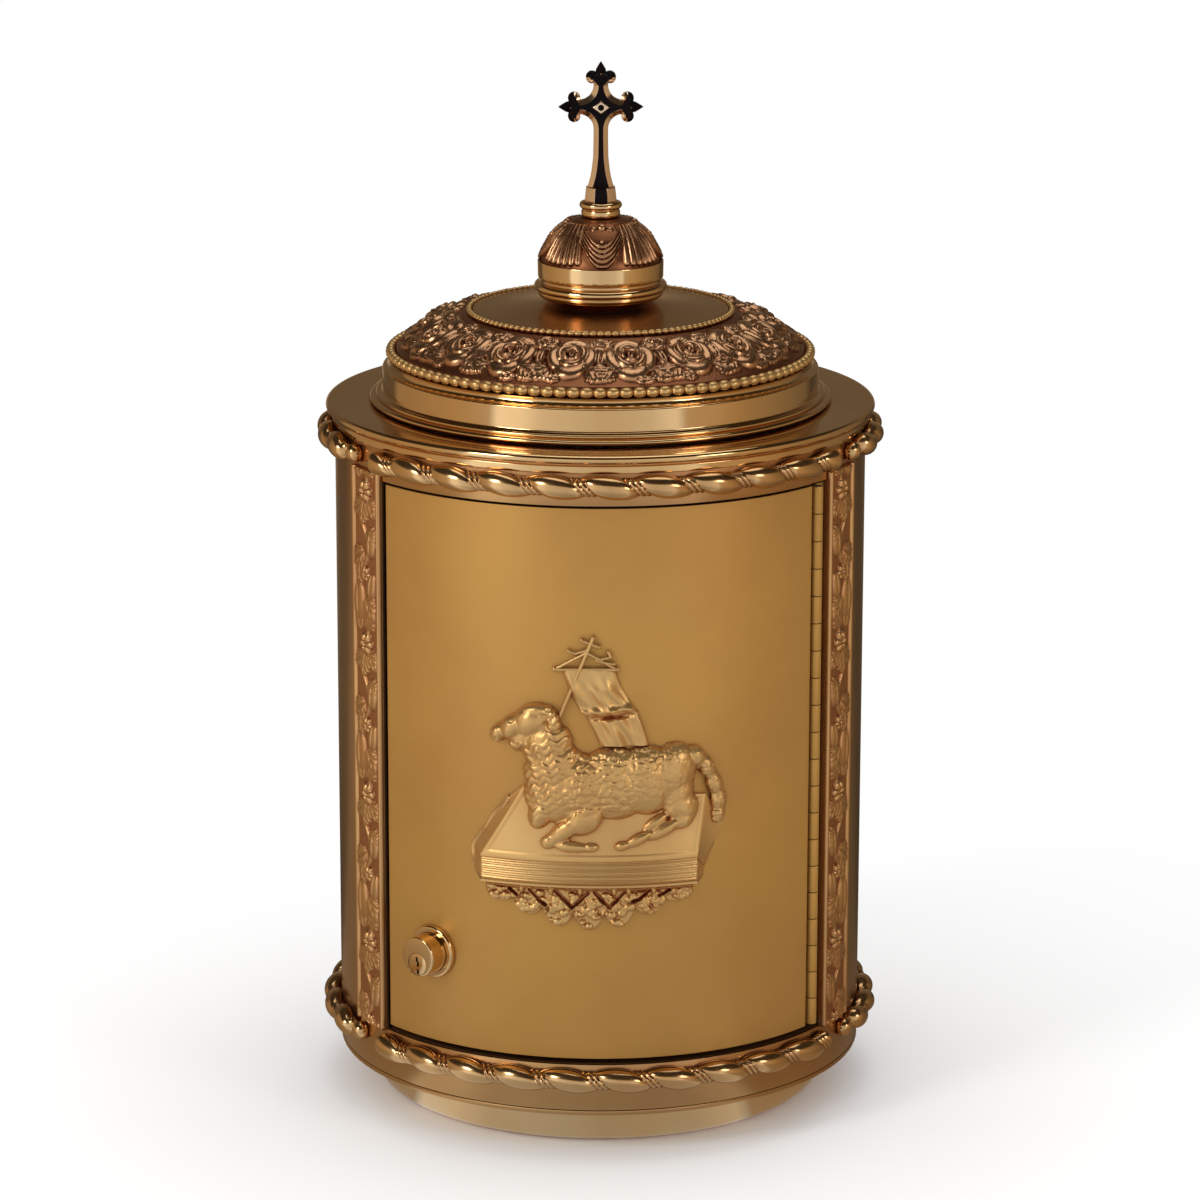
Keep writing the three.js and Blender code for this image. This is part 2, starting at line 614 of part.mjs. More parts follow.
// Door panel and its stiffeners
function makeDoor() {
  const panel = arcPlate(
    -DOOR_LEFT_ANGLE, DOOR_RIGHT_ANGLE, DOOR_INNER_RADIUS, WALL_RADIUS, DOOR_BOTTOM_Z, DOOR_TOP_Z, 4,
  );
  const lockHole = radialPin(
    LOCK_AZIMUTH, LOCK_HEIGHT, LOCK_HOUSING_RADIUS + SCREW_HOLE_GAP, DOOR_INNER_RADIUS - 10, WALL_RADIUS + 10,
  );
  const postHoles = postPlaces().map(([azimuth, z]) => radialPin(
    azimuth, z, RELIEF_POST_RADIUS + SCREW_HOLE_GAP, DOOR_INNER_RADIUS - 5, WALL_RADIUS + 5, PIN_FACETS,
  ));
  add('door_panel', cut(panel, lockHole, ...postHoles), SATIN, door);
  const bottom = DOOR_BOTTOM_Z + STIFFENER_MARGIN;
  const top = DOOR_TOP_Z - STIFFENER_MARGIN - STIFFENER_HEIGHT;
  for (const [name, z] of [['door_stiffener_bottom', bottom], ['door_stiffener_top', top]]) {
    const bar = arcPlate(
      -STIFFENER_LEFT_ANGLE, STIFFENER_RIGHT_ANGLE, DOOR_BACK_RADIUS - STIFFENER_DEPTH, DOOR_BACK_RADIUS,
      z, z + STIFFENER_HEIGHT,
    );
    add(name, bar, SATIN, door);
  }
}

// Cam lock
function makeLockBody() {
  const hole = LOCK_HOUSING_RADIUS + SCREW_HOLE_GAP;
  const flangeTop = WALL_RADIUS + SEAT_GAP + LOCK_FLANGE_THICKNESS;
  const flange = turned([
    [hole, WALL_RADIUS - 2],
    [LOCK_FLANGE_RADIUS, WALL_RADIUS - 2],
    [LOCK_FLANGE_RADIUS, flangeTop - LOCK_FLANGE_THICKNESS * 0.6],
    [LOCK_FLANGE_RADIUS - LOCK_FLANGE_THICKNESS * 0.5, flangeTop],
    [hole, flangeTop],
  ], ROUND_FACETS);
  const doorSolid = disc(
    FACE_RADIUS, LOCK_HEIGHT - 2 * LOCK_FLANGE_RADIUS, LOCK_HEIGHT + 2 * LOCK_FLANGE_RADIUS, WALL_FACETS,
  );
  add('lock_flange', cut(facing(flange, LOCK_AZIMUTH, LOCK_HEIGHT), doorSolid), POLISHED, door);

  const housing = turned([
    [0, LOCK_BACK],
    [LOCK_HOUSING_RADIUS, LOCK_BACK],
    [LOCK_HOUSING_RADIUS, LOCK_FRONT - 1.2],
    [LOCK_HOUSING_RADIUS - 1.2, LOCK_FRONT],
    [0, LOCK_FRONT],
  ], ROUND_FACETS);
  const plugBore = disc(PLUG_RADIUS + RUNNING_GAP, LOCK_BACK - 1, LOCK_FRONT + 1, ROUND_FACETS);
  plugBore.translate(0, -PLUG_DROP, 0);
  add('lock_housing', facing(cut(housing, plugBore), LOCK_AZIMUTH, LOCK_HEIGHT), POLISHED, door);

  const sagitta = LOCK_NUT_RADIUS ** 2 / (2 * DOOR_INNER_RADIUS);
  const nutFront = DOOR_BACK_RADIUS - sagitta;
  const nut = turned([
    [hole, nutFront - LOCK_NUT_THICKNESS],
    [LOCK_NUT_RADIUS, nutFront - LOCK_NUT_THICKNESS],
    [LOCK_NUT_RADIUS, nutFront],
    [hole, nutFront],
  ], 6);
  const thread = disc(hole, nutFront - 2 * LOCK_NUT_THICKNESS, nutFront + LOCK_NUT_THICKNESS, ROUND_FACETS);
  add('lock_nut', facing(cut(nut, thread), LOCK_AZIMUTH, LOCK_HEIGHT), DARK_BRASS, door);
}

// The keyway runs from the plug's middle downwards, stepped sideways at its lower end.
function keyway() {
  const slot = (height, x, y) => new THREE.BoxGeometry(KEYWAY_WIDTH, height, 2 * KEYWAY_DEPTH)
    .translate(x, y, LOCK_FRONT);
  const step = KEYWAY_WIDTH * 0.6;
  return [
    slot(KEYWAY_HEIGHT * 0.55, 0, KEYWAY_HEIGHT * 0.22),
    slot(KEYWAY_HEIGHT * 0.55, step, -KEYWAY_HEIGHT * 0.22),
  ];
}

function makeLockPlug() {
  const plug = disc(PLUG_RADIUS, PLUG_BACK, LOCK_FRONT, ROUND_FACETS);
  const screwHole = disc(CAM_SCREW_RADIUS + SCREW_HOLE_GAP, PLUG_BACK - 1, PLUG_BACK + CAM_SCREW_GRIP, PIN_FACETS);
  add('lock_plug', facing(cut(plug, screwHole, ...keyway()), LOCK_AZIMUTH, PLUG_HEIGHT), POLISHED, lockTurn);

  const outline = new THREE.Shape();
  outline.absarc(0, 0, CAM_WIDTH * 0.75, Math.PI, 2 * Math.PI, false);
  outline.lineTo(CAM_WIDTH / 2, CAM_WIDTH);
  outline.lineTo(CAM_WIDTH / 2, CAM_LENGTH - CAM_WIDTH / 2);
  outline.absarc(0, CAM_LENGTH - CAM_WIDTH / 2, CAM_WIDTH / 2, 0, Math.PI, false);
  outline.lineTo(-CAM_WIDTH / 2, CAM_WIDTH);
  const hole = new THREE.Path();
  hole.absarc(0, 0, CAM_SCREW_RADIUS + SCREW_HOLE_GAP, 0, 2 * Math.PI, true);
  outline.holes.push(hole);
  const cam = new THREE.ExtrudeGeometry(outline, {
    depth: CAM_THICKNESS, bevelEnabled: false, curveSegments: 8,
  });
  cam.translate(0, 0, CAM_FRONT - CAM_THICKNESS);
  add('lock_cam', facing(cam, LOCK_AZIMUTH, PLUG_HEIGHT), STEEL, lockTurn);

  const headFront = CAM_FRONT - CAM_THICKNESS - SEAT_GAP;
  const headBack = headFront - CAM_SCREW_HEAD_HEIGHT;
  const screwEnd = PLUG_BACK + CAM_SCREW_GRIP - 2 * SEAT_GAP;
  const screw = join(
    disc(CAM_SCREW_HEAD_RADIUS, headBack, headFront, 12),
    disc(CAM_SCREW_RADIUS, headBack, screwEnd, PIN_FACETS),
  );
  add('cam_screw', facing(screw, LOCK_AZIMUTH, PLUG_HEIGHT), STEEL, lockTurn);
}

// Keeper: a plate behind the left jamb whose lip reaches behind the door's edge
function makeKeeper() {
  const z0 = PLUG_HEIGHT - KEEPER_HEIGHT / 2;
  const z1 = PLUG_HEIGHT + KEEPER_HEIGHT / 2;
  const back = FIT_RADIUS - KEEPER_DEPTH;
  const block = arcPlate(-KEEPER_OUTER_ANGLE, -OPENING_HALF_ANGLE, back, FIT_RADIUS, z0, z1);
  const lip = arcPlate(-KEEPER_OUTER_ANGLE, -KEEPER_INNER_ANGLE, back, back + KEEPER_LIP_THICKNESS, z0, z1);
  const holes = keeperScrewHeights().map((z) => radialPin(
    KEEPER_SCREW_AZIMUTH, z, KEEPER_SCREW_RADIUS + SCREW_HOLE_GAP, back - 5, WALL_RADIUS, PIN_FACETS,
  ));
  add('lock_keeper', cut(join(block, lip), ...holes), DARK_BRASS);
  keeperScrewHeights().forEach((z, i) => {
    const headTop = back - SEAT_GAP;
    const headBottom = headTop - KEEPER_SCREW_HEAD_HEIGHT;
    const azimuth = KEEPER_SCREW_AZIMUTH;
    const head = radialPin(azimuth, z, KEEPER_SCREW_HEAD_RADIUS, headBottom, headTop, PIN_FACETS);
    const shank = radialPin(azimuth, z, KEEPER_SCREW_RADIUS, headBottom, WALL_RADIUS - SEAT_GAP, PIN_FACETS);
    add(`keeper_screw_${i + 1}`, join(head, shank), DARK_BRASS);
  });
}

// Relief on the door: a slab, a fringe below it, a lamb on it, and a staff with a banner behind
function doorSolid(z0, z1) {
  return disc(FACE_RADIUS, z0, z1, WALL_FACETS);
}

// The slab is an oblique block. Its stations run from left to right: the face that turns away
// at the left, the page front with the sloping top, and the face that turns away at the right.
const SLAB_LEFT = {
  azimuth: -28.4, bottom: 164, front: 177, depth: 2.5, backAzimuth: -21.2, back: 206, backDepth: 1,
};
const SLAB_FRONT_LEFT = {
  azimuth: -25.8, bottom: SLAB_BOTTOM, front: 175, depth: SLAB_DEPTH, backAzimuth: -17.1, back: 215, backDepth: 1.6,
};
const SLAB_FRONT_RIGHT = {
  azimuth: 18.1, bottom: SLAB_BOTTOM, front: 176, depth: SLAB_DEPTH, backAzimuth: 20.9, back: 208, backDepth: 1.6,
};
const SLAB_RIGHT = {
  azimuth: 20.3, bottom: 162, front: 168, depth: 3, backAzimuth: 25, back: 190.5, backDepth: 1,
};

function slabStations() {
  const stations = [SLAB_LEFT];
  for (let i = 0; i <= SLAB_STEPS; i += 1) {
    const t = i / SLAB_STEPS;
    const station = {};
    for (const key of Object.keys(SLAB_LEFT)) {
      station[key] = SLAB_FRONT_LEFT[key] + (SLAB_FRONT_RIGHT[key] - SLAB_FRONT_LEFT[key]) * t;
    }
    stations.push(station);
  }
  return [...stations, SLAB_RIGHT];
}

function slab(grow) {
  const turn = alongWall(grow);
  const sections = slabStations().map((s, i, all) => {
    let shift = 0;
    if (i === 0) shift = -turn;
    if (i === all.length - 1) shift = turn;
    const low = s.azimuth + shift;
    const high = s.backAzimuth + shift;
    return [
      place(low, FACE_RADIUS - grow, s.bottom - grow),
      place(low, FACE_RADIUS + s.depth + grow, s.bottom - grow),
      place(low, FACE_RADIUS + s.depth + grow, s.front + grow),
      place(high, FACE_RADIUS + s.backDepth + grow, s.back + grow),
      place(high, FACE_RADIUS - grow, s.back + grow),
    ];
  });
  const cap = [[0, 0], [3, 0], [3, 2], [1, 5], [0, 5]].map(([x, y]) => new THREE.Vector2(x, y));
  return loft(sections, cap);
}

function makeSlab() {
  add('book_slab', cut(slab(0), doorSolid(SILL_Z, HEAD_Z)), RELIEF, door);
}

// Each scallop of the fringe: azimuth of its middle and drop below the slab
const SCALLOPS = [[-22.3, 12], [-16.2, 18.5], [-10, 24.5], [-3.8, 26.5], [2.4, 24.5], [8.6, 18], [14.6, 11]];
// Each void between two scallops: azimuth, width and height
const VOIDS = [[-19.8, 5, 5.5], [-13.6, 8, 8.5], [-7, 10, 10], [-0.4, 10, 10], [6.2, 8, 8.5], [11.9, 5, 5.5]];

function makeFringe() {
  const top = SLAB_BOTTOM - SEAT_GAP;
  const [first, last] = [SCALLOPS[0][0], SCALLOPS[SCALLOPS.length - 1][0]];
  const rail = arcPlate(
    first - FRINGE_END_ANGLE, last + FRINGE_END_ANGLE, FACE_RADIUS, FACE_RADIUS + FRINGE_DEPTH,
    top - FRINGE_RAIL, top, 4,
  );
  const scallops = SCALLOPS.map(([azimuth, drop]) => (
    ellipsoid(azimuth, top - drop / 2, SCALLOP_HALF_WIDTH, drop / 2, FRINGE_DEPTH)
  ));
  const voids = VOIDS.map(([azimuth, width, height]) => {
    const triangle = new THREE.Shape();
    triangle.moveTo(-width / 2, 0);
    triangle.lineTo(0, -height);
    triangle.lineTo(width / 2, 0);
    const prism = new THREE.ExtrudeGeometry(triangle, { depth: 3 * FRINGE_DEPTH, bevelEnabled: false });
    prism.translate(0, 0, FACE_RADIUS - FRINGE_DEPTH);
    return facing(prism, azimuth, top - FRINGE_RAIL);
  });
  const lace = cut(join(rail, ...scallops), doorSolid(SILL_Z, HEAD_Z), ...voids);
  add('cloud_fringe', lace, RELIEF, door);
}

// Each mass of the lamb: azimuth, height, half width, half height, depth, tilt
const LAMB_MASSES = [
  [-9, 213, 22, 24, LAMB_DEPTH, 0],
  [1, 216, 26, 23, LAMB_DEPTH, 0],
  [11.6, 217, 20.5, 22.5, LAMB_DEPTH, 0],
  [-13.2, 234, 13, 18, LAMB_DEPTH * 0.95, 25],
  [-18.4, 248.5, 17, 9, LAMB_DEPTH * 0.9, 35],
  [-11.4, 256, 7, 3.6, LAMB_DEPTH * 0.85, -40],
  [20.6, 213, 6.5, 21, LAMB_DEPTH * 0.6, 17],
  [-7.5, 192, 16, 7, SLAB_DEPTH + 2.5, 30],
  [-6.5, 183, 14, 4, SLAB_DEPTH + 1.8, -3],
  [11, 191, 20, 6.5, SLAB_DEPTH + 1.5, 18],
];

// Azimuth and height of the lamb's two posts, which stand behind the thick of its body
function postPlaces() {
  return RELIEF_POST_MASSES.map((i) => {
    const [azimuth, z, , halfHeight] = LAMB_MASSES[i];
    return [azimuth, z + RELIEF_POST_RISE * halfHeight];
  });
}

function lambMasses(grow) {
  return LAMB_MASSES.map(([azimuth, z, halfWidth, halfHeight, depth, tilt]) => (
    ellipsoid(azimuth, z, halfWidth + grow, halfHeight + grow, depth + grow, tilt)
  ));
}

function makeLamb() {
  const posts = postPlaces().map(([azimuth, z]) => radialPin(
    azimuth, z, RELIEF_POST_RADIUS, DOOR_BACK_RADIUS - RELIEF_NUT_HEIGHT - 1.5, FACE_RADIUS + LAMB_DEPTH / 2,
    PIN_FACETS,
  ));
  const body = cut(join(...lambMasses(0)), doorSolid(SLAB_BOTTOM, CORNICE_Z), slab(SEAT_GAP));
  add('lamb', join(body, ...posts), RELIEF, door);
  const nutFront = DOOR_BACK_RADIUS - RELIEF_NUT_RADIUS ** 2 / (2 * DOOR_INNER_RADIUS);
  postPlaces().forEach(([azimuth, z], i) => {
    const hole = RELIEF_POST_RADIUS + SCREW_HOLE_GAP;
    const nut = cut(
      disc(RELIEF_NUT_RADIUS, nutFront - RELIEF_NUT_HEIGHT, nutFront, 6),
      disc(hole, nutFront - 2 * RELIEF_NUT_HEIGHT, nutFront + RELIEF_NUT_HEIGHT, PIN_FACETS),
    );
    add(`relief_nut_${i + 1}`, facing(nut, azimuth, z), DARK_BRASS, door);
  });
}

// Rods of the staff, each from one azimuth and height to another: the staff, the small arms at
// its top, the bar that the banner hangs from, and the two cords of that bar
const STAFF_RODS = [
  [-9.75, 255, -2.95, 299.5],
  [-5.1, 297.6, -2, 294.4],
  [-10.8, 281.2, 1.8, 281.6],
  [-4.3, 291, -10.8, 281.2],
  [-4.3, 291, 1.8, 281.6],
];
// Each station down the banner: height, left azimuth, right azimuth
const BANNER_STATIONS = [
  [281, -9.4, 1.6], [270, -8, 3], [262, -6.6, 4.9], [255, -4.6, 6.2], [248, -2.6, 7.4], [239, -1.8, 8.4],
];

function bannerStation([z, left, right]) {
  const columns = [0, 0.25, 0.5, 0.75, 1].map((t) => left + (right - left) * t);
  const back = columns.map((azimuth) => place(azimuth, FACE_RADIUS, z));
  const front = columns.map((azimuth) => place(azimuth, FACE_RADIUS + BANNER_THICKNESS, z));
  return [...back, ...front.reverse()];
}

function makeBanner() {
  const cap = Array.from({ length: 10 }, (_, i) => (
    i < 5 ? new THREE.Vector2(i, 0) : new THREE.Vector2(9 - i, 1)
  ));
  const rods = STAFF_RODS.map(([fromAzimuth, fromZ, toAzimuth, toZ]) => rodBetween(
    place(fromAzimuth, FACE_RADIUS + STAFF_CENTRE, fromZ), place(toAzimuth, FACE_RADIUS + STAFF_CENTRE, toZ),
    STAFF_RADIUS, 6,
  ));
  const whole = join(loft(BANNER_STATIONS.map(bannerStation), cap), ...rods);
  const banner = cut(whole, doorSolid(SILL_Z, CORNICE_Z), ...lambMasses(SEAT_GAP));
  add('staff_and_banner', banner, RELIEF, door);
}

// Cornice that carries the drum, with a spigot inside the wall
function makeCornice() {
  const h = CORNICE_HEIGHT;
  const lip = CORNICE_LIP_RADIUS;
  const band = CORNICE_BAND_RADIUS;
  const outline = [
    [DECK_HOLE_RADIUS, DECK_Z],
    [lip - 1.5, DECK_Z],
    [lip, DECK_Z - h * 0.2],
    [lip - 2, DECK_Z - h * 0.44],
    [band - 1.2, DECK_Z - h * 0.56],
    [band, CORNICE_Z + h * 0.36],
    [band, CORNICE_Z],
    [FIT_RADIUS, CORNICE_Z],
    [FIT_RADIUS, CORNICE_Z - SPIGOT_DEPTH],
    [FIT_RADIUS - SPIGOT_THICKNESS, CORNICE_Z - SPIGOT_DEPTH],
    [FIT_RADIUS - SPIGOT_THICKNESS, DECK_Z - DECK_THICKNESS],
    [DECK_HOLE_RADIUS, DECK_Z - DECK_THICKNESS],
  ];
  const hole = () => disc(DRUM_SCREW_RADIUS + SCREW_HOLE_GAP, CORNICE_Z, DECK_Z + 1, PIN_FACETS);
  add('cornice', cut(turned(outline), ...aroundAxis(DRUM_SCREW_COUNT, DRUM_SCREW_CIRCLE, hole)), POLISHED);
}

// Drum with its inward flange, and the screws that hold it to the deck
function makeDrum() {
  const band = DRUM_BAND_RADIUS;
  const foot = DRUM_FOOT_RADIUS;
  const neck = DRUM_NECK_RADIUS;
  const flangeTop = DRUM_Z + DRUM_WALL + SEAT_GAP;
  const outline = [
    [DRUM_FLANGE_RADIUS, DRUM_Z],
    [foot, DRUM_Z],
    [foot + 0.5, DRUM_Z + 1.6],
    [foot - 2.5, DRUM_Z + 3.6],
    [band + 1, DRUM_Z + 4.6],
    [band, DRUM_Z + 6],
    [band, LEDGE_Z - 5],
    [neck + 0.6, LEDGE_Z - 2.8],
    [neck, LEDGE_Z - 1.4],
    [neck + 1.2, LEDGE_Z],
    [DRUM_LEDGE_RADIUS, LEDGE_Z],
    [DRUM_LEDGE_RADIUS, LEDGE_Z - DRUM_WALL],
    [neck - DRUM_WALL, LEDGE_Z - DRUM_WALL - 1.5],
    [band - DRUM_WALL, LEDGE_Z - 7],
    [band - DRUM_WALL, flangeTop],
    [DRUM_FLANGE_RADIUS, flangeTop],
  ];
  const hole = () => disc(DRUM_SCREW_RADIUS + SCREW_HOLE_GAP, DRUM_Z - 1, flangeTop + 1, PIN_FACETS);
  const holes = aroundAxis(DRUM_SCREW_COUNT, DRUM_SCREW_CIRCLE, hole);
  add('drum', cut(turned(outline), ...holes), POLISHED);
  const headTop = DECK_Z - DECK_THICKNESS - SEAT_GAP;
  const headBottom = headTop - DRUM_SCREW_HEAD_HEIGHT;
  const screw = () => join(
    disc(DRUM_SCREW_HEAD_RADIUS, headBottom, headTop, PIN_FACETS),
    disc(DRUM_SCREW_RADIUS, headBottom, flangeTop, PIN_FACETS),
  );
  aroundAxis(DRUM_SCREW_COUNT, DRUM_SCREW_CIRCLE, screw).forEach((geometry, i) => {
    add(`drum_screw_${i + 1}`, geometry, DARK_BRASS);
  });
}

function beadRing(circle, radius, z) {
  const outline = Array.from({ length: 6 }, (_, i) => {
    const a = radians(60 * i + 30);
    return [circle + radius * Math.cos(a), z + radius * Math.sin(a)];
  });
  return turned(outline);
}

// Rose band: the sloping face between the two bead rings, with a shelf inside for the cap
const ROSE_OUTER_RADIUS = OUTER_BEAD_CIRCLE - OUTER_BEAD_RADIUS - SEAT_GAP;
const ROSE_INNER_RADIUS = INNER_BEAD_CIRCLE + INNER_BEAD_RADIUS + 1.4;
const ROSE_EDGE_Z = ROSE_BAND_Z + 5.2;
const SHELF_RADIUS = 66;

// A rose's boss: a low frustum in the middle of the sloping face
function roseBoss(azimuth) {
  const middle = (ROSE_OUTER_RADIUS + ROSE_INNER_RADIUS) / 2;
  const z = (ROSE_EDGE_Z + SHELF_Z) / 2;
  const slope = Math.atan2(SHELF_Z - ROSE_EDGE_Z, ROSE_OUTER_RADIUS - ROSE_INNER_RADIUS);
  const height = ROSE_RELIEF + ROSE_SINK;
  const boss = new THREE.CylinderGeometry(ROSE_RADIUS * 0.6, ROSE_RADIUS, height, 8);
  boss.rotateX(Math.PI / 2).translate(0, 0, height / 2 - ROSE_SINK);
  boss.rotateX(slope).translate(0, -middle, z).rotateZ(radians(azimuth));
  return closed(boss);
}

function makeRoseBand() {
  const inner = ROSE_INNER_RADIUS;
  const outer = ROSE_OUTER_RADIUS;
  const t = ROSE_BAND_THICKNESS;
  const middle = (inner + outer) / 2;
  const middleZ = (ROSE_EDGE_Z + SHELF_Z) / 2;
  const band = turned([
    [outer, ROSE_BAND_Z],
    [outer, ROSE_EDGE_Z],
    [middle, middleZ],
    [inner, SHELF_Z],
    [SHELF_RADIUS, SHELF_Z],
    [SHELF_RADIUS, SHELF_Z - t],
    [inner, SHELF_Z - t],
    [middle, middleZ - t],
    [outer - t, ROSE_EDGE_Z - t],
    [outer - t, ROSE_BAND_Z],
  ]);
  const bosses = Array.from({ length: ROSE_COUNT }, (_, i) => roseBoss((360 * (i + 0.5)) / ROSE_COUNT));
  add('rose_band', join(band, ...bosses), RELIEF);
}

function makeBeadRings() {
  const outerZ = ROSE_BAND_Z + OUTER_BEAD_RADIUS;
  add('outer_bead_ring', beadRing(OUTER_BEAD_CIRCLE, OUTER_BEAD_RADIUS, outerZ), RELIEF);
  const innerZ = SHELF_Z + SEAT_GAP + INNER_BEAD_RADIUS;
  add('inner_bead_ring', beadRing(INNER_BEAD_CIRCLE, INNER_BEAD_RADIUS, innerZ), RELIEF);
}

const STUD_HOLE = STUD_RADIUS + SEAT_GAP;

function makeDomeCap() {
  const r = DOME_CAP_RADIUS;
  const t = DOME_CAP_THICKNESS;
  const top = DOME_CAP_Z + DOME_CAP_RISE;
  const edge = DOME_CAP_Z + t;
  const rise = DOME_CAP_RISE - t;
  const cap = turned([
    [STUD_HOLE, top],
    [KNOP_NECK_RADIUS + 1.5, top],
    [r * 0.55, edge + rise * 0.62],
    [r, edge],
    [r, DOME_CAP_Z],
    [SHELF_RADIUS - 1, DOME_CAP_Z],
    [r * 0.55, edge + rise * 0.62 - t],
    [KNOP_NECK_RADIUS + 1.5, top - t],
    [STUD_HOLE, top - t],
  ]);
  add('dome_cap', cap, POLISHED);
}

// Knop in two pieces: a turned base and a leaf dome
function makeKnop() {
  const z = KNOP_Z;
  const h = KNOP_HEIGHT;
  const base = turned([
    [STUD_HOLE, z],
    [KNOP_NECK_RADIUS, z],
    [KNOP_NECK_RADIUS + 1.5, z + h * 0.1],
    [KNOP_BAND_RADIUS - 2, z + h * 0.22],
    [KNOP_RADIUS - 0.6, z + h * 0.3],
    [KNOP_RADIUS, z + h * 0.38],
    [KNOP_RADIUS - 0.8, z + h * 0.5],
    [KNOP_BAND_RADIUS, z + h * 0.62],
    [KNOP_BAND_RADIUS, z + h],
    [STUD_HOLE, z + h],
  ], KNOP_FACETS);
  add('knop_base', base, POLISHED);

  const d = LEAF_DOME_Z;
  const rise = LEAF_DOME_HEIGHT;
  const outside = [
    [KNOP_BAND_RADIUS - 0.2, d],
    [KNOP_BAND_RADIUS - 2.6, d + rise * 0.2],
    [KNOP_BAND_RADIUS - 7.6, d + rise * 0.54],
    [KNOP_BAND_RADIUS - 11.2, d + rise * 0.71],
    [KNOP_BAND_RADIUS - 16.3, d + rise * 0.88],
    [KNOP_BAND_RADIUS - 21, d + rise * 0.97],
    [9.5, d + rise],
  ];
  const w = LEAF_DOME_WALL;
  const inside = [
    [STUD_HOLE, d + rise],
    [STUD_HOLE, d + rise - w],
    [KNOP_BAND_RADIUS - 16.3 - w, d + rise * 0.88 - w],
    [KNOP_BAND_RADIUS - 7.6 - w, d + rise * 0.54 - w],
    [KNOP_BAND_RADIUS - w, d],
  ];
  add('leaf_dome', turned([...outside, ...inside], KNOP_FACETS), RELIEF);
}

function makeCollar() {
  const z = COLLAR_Z;
  const h = COLLAR_HEIGHT;
  const r = COLLAR_RADIUS;
  const collar = turned([
    [STUD_HOLE, z],
    [r - 1.7, z],
    [r - 1.1, z + h * 0.15],
    [r - 1.9, z + h * 0.4],
    [r, z + h * 0.7],
    [r - 0.5, z + h * 0.86],
    [r - 2.6, z + h],
    [STUD_HOLE, z + h],
  ], ROUND_FACETS);
  add('finial_collar', collar, POLISHED);
}

// Cross outline with a flared shaft and a bud pair and point on each arm
function crossOutline() {
  const w = CROSS_HALF_WIDTH;
  const fillet = 6;
  const bud = CROSS_BUD_RADIUS;
  const shape = new THREE.Shape();
  const shaftLow = FERRULE_Z - CROSS_Z + FERRULE_HEIGHT * 0.5;
  shape.moveTo(-w - 1.6, shaftLow);
  shape.lineTo(w + 1.6, shaftLow);
  shape.lineTo(w, shaftLow + 16);
  shape.lineTo(w, -w - fillet);
  const arms = [[CROSS_ARM_LENGTH, 0], [CROSS_TOP_LENGTH, 90], [CROSS_ARM_LENGTH, 180]];
  for (const [length, angle] of arms) {
    const a = radians(angle);
    const at = (x, y) => [x * Math.cos(a) - y * Math.sin(a), x * Math.sin(a) + y * Math.cos(a)];
    const neck = length - 2.4 * bud;
    shape.quadraticCurveTo(...at(w, -w), ...at(w + fillet, -w));
    shape.lineTo(...at(neck - bud, -w));
    shape.quadraticCurveTo(...at(neck - bud, -w - 1.3 * bud), ...at(neck + bud * 0.4, -w - 1.2 * bud));
    shape.quadraticCurveTo(...at(neck + bud * 1.2, -w - bud * 0.6), ...at(neck + bud, -w * 0.55));
    shape.lineTo(...at(length, 0));
    shape.lineTo(...at(neck + bud, w * 0.55));
    shape.quadraticCurveTo(...at(neck + bud * 1.2, w + bud * 0.6), ...at(neck + bud * 0.4, w + 1.2 * bud));
    shape.quadraticCurveTo(...at(neck - bud, w + 1.3 * bud), ...at(neck - bud, w));
    shape.lineTo(...at(w + fillet, w));
  }
  shape.quadraticCurveTo(-w, -w, -w, -w - fillet);
  shape.lineTo(-w, shaftLow + 16);
  return shape;
}

function makeCross() {
  const plate = new THREE.ExtrudeGeometry(crossOutline(), {
    depth: CROSS_THICKNESS, bevelEnabled: false, curveSegments: 3,
  });
  plate.translate(0, 0, -CROSS_THICKNESS / 2).rotateX(Math.PI / 2).translate(0, 0, CROSS_Z);
  const z = FERRULE_Z;
  const h = FERRULE_HEIGHT;
  const ferrule = turned([
    [0, z],
    [FERRULE_RADIUS, z],
    [FERRULE_RADIUS, z + h * 0.28],
    [FERRULE_RADIUS - 2, z + h * 0.55],
    [CROSS_HALF_WIDTH + 0.8, z + h],
    [0, z + h],
  ], ROUND_FACETS);
  const bore = disc(STUD_HOLE, z - 1, z + STUD_GRIP + SEAT_GAP, PIN_FACETS);
  add('cross', cut(join(plate, ferrule), bore), POLISHED);
}

function makeStud() {
  const capUnder = DOME_CAP_Z + DOME_CAP_RISE - DOME_CAP_THICKNESS;
  const washerTop = capUnder - SEAT_GAP;
  const washerBottom = washerTop - STUD_WASHER_THICKNESS;
  const nutTop = washerBottom - SEAT_GAP;
  const nutBottom = nutTop - STUD_NUT_HEIGHT;
  add('finial_stud', disc(STUD_RADIUS, capUnder - STUD_TAIL, FERRULE_Z + STUD_GRIP, PIN_FACETS), STEEL);
  const washer = cut(
    disc(STUD_WASHER_RADIUS, washerBottom, washerTop, ROUND_FACETS),
    disc(STUD_HOLE, washerBottom - 1, washerTop + 1, PIN_FACETS),
  );
  add('stud_washer', washer, STEEL);
  const nut = cut(disc(STUD_NUT_RADIUS, nutBottom, nutTop, 6), disc(STUD_HOLE, nutBottom - 1, nutTop + 1, PIN_FACETS));
  add('stud_nut', nut, STEEL);
}

makeFoot();
makeBasePlate();
makeFootBolts();
makeShell();
makeFloor();
makeCeiling();
makeRopes();
makeStrips();
makeHinge();
makeDoor();
makeLockBody();
makeLockPlug();
makeKeeper();
makeSlab();
makeFringe();
makeLamb();
makeBanner();
makeCornice();
makeDrum();
makeBeadRings();
makeRoseBand();
makeDomeCap();
makeKnop();
makeCollar();
makeCross();
makeStud();

export default tabernacle;
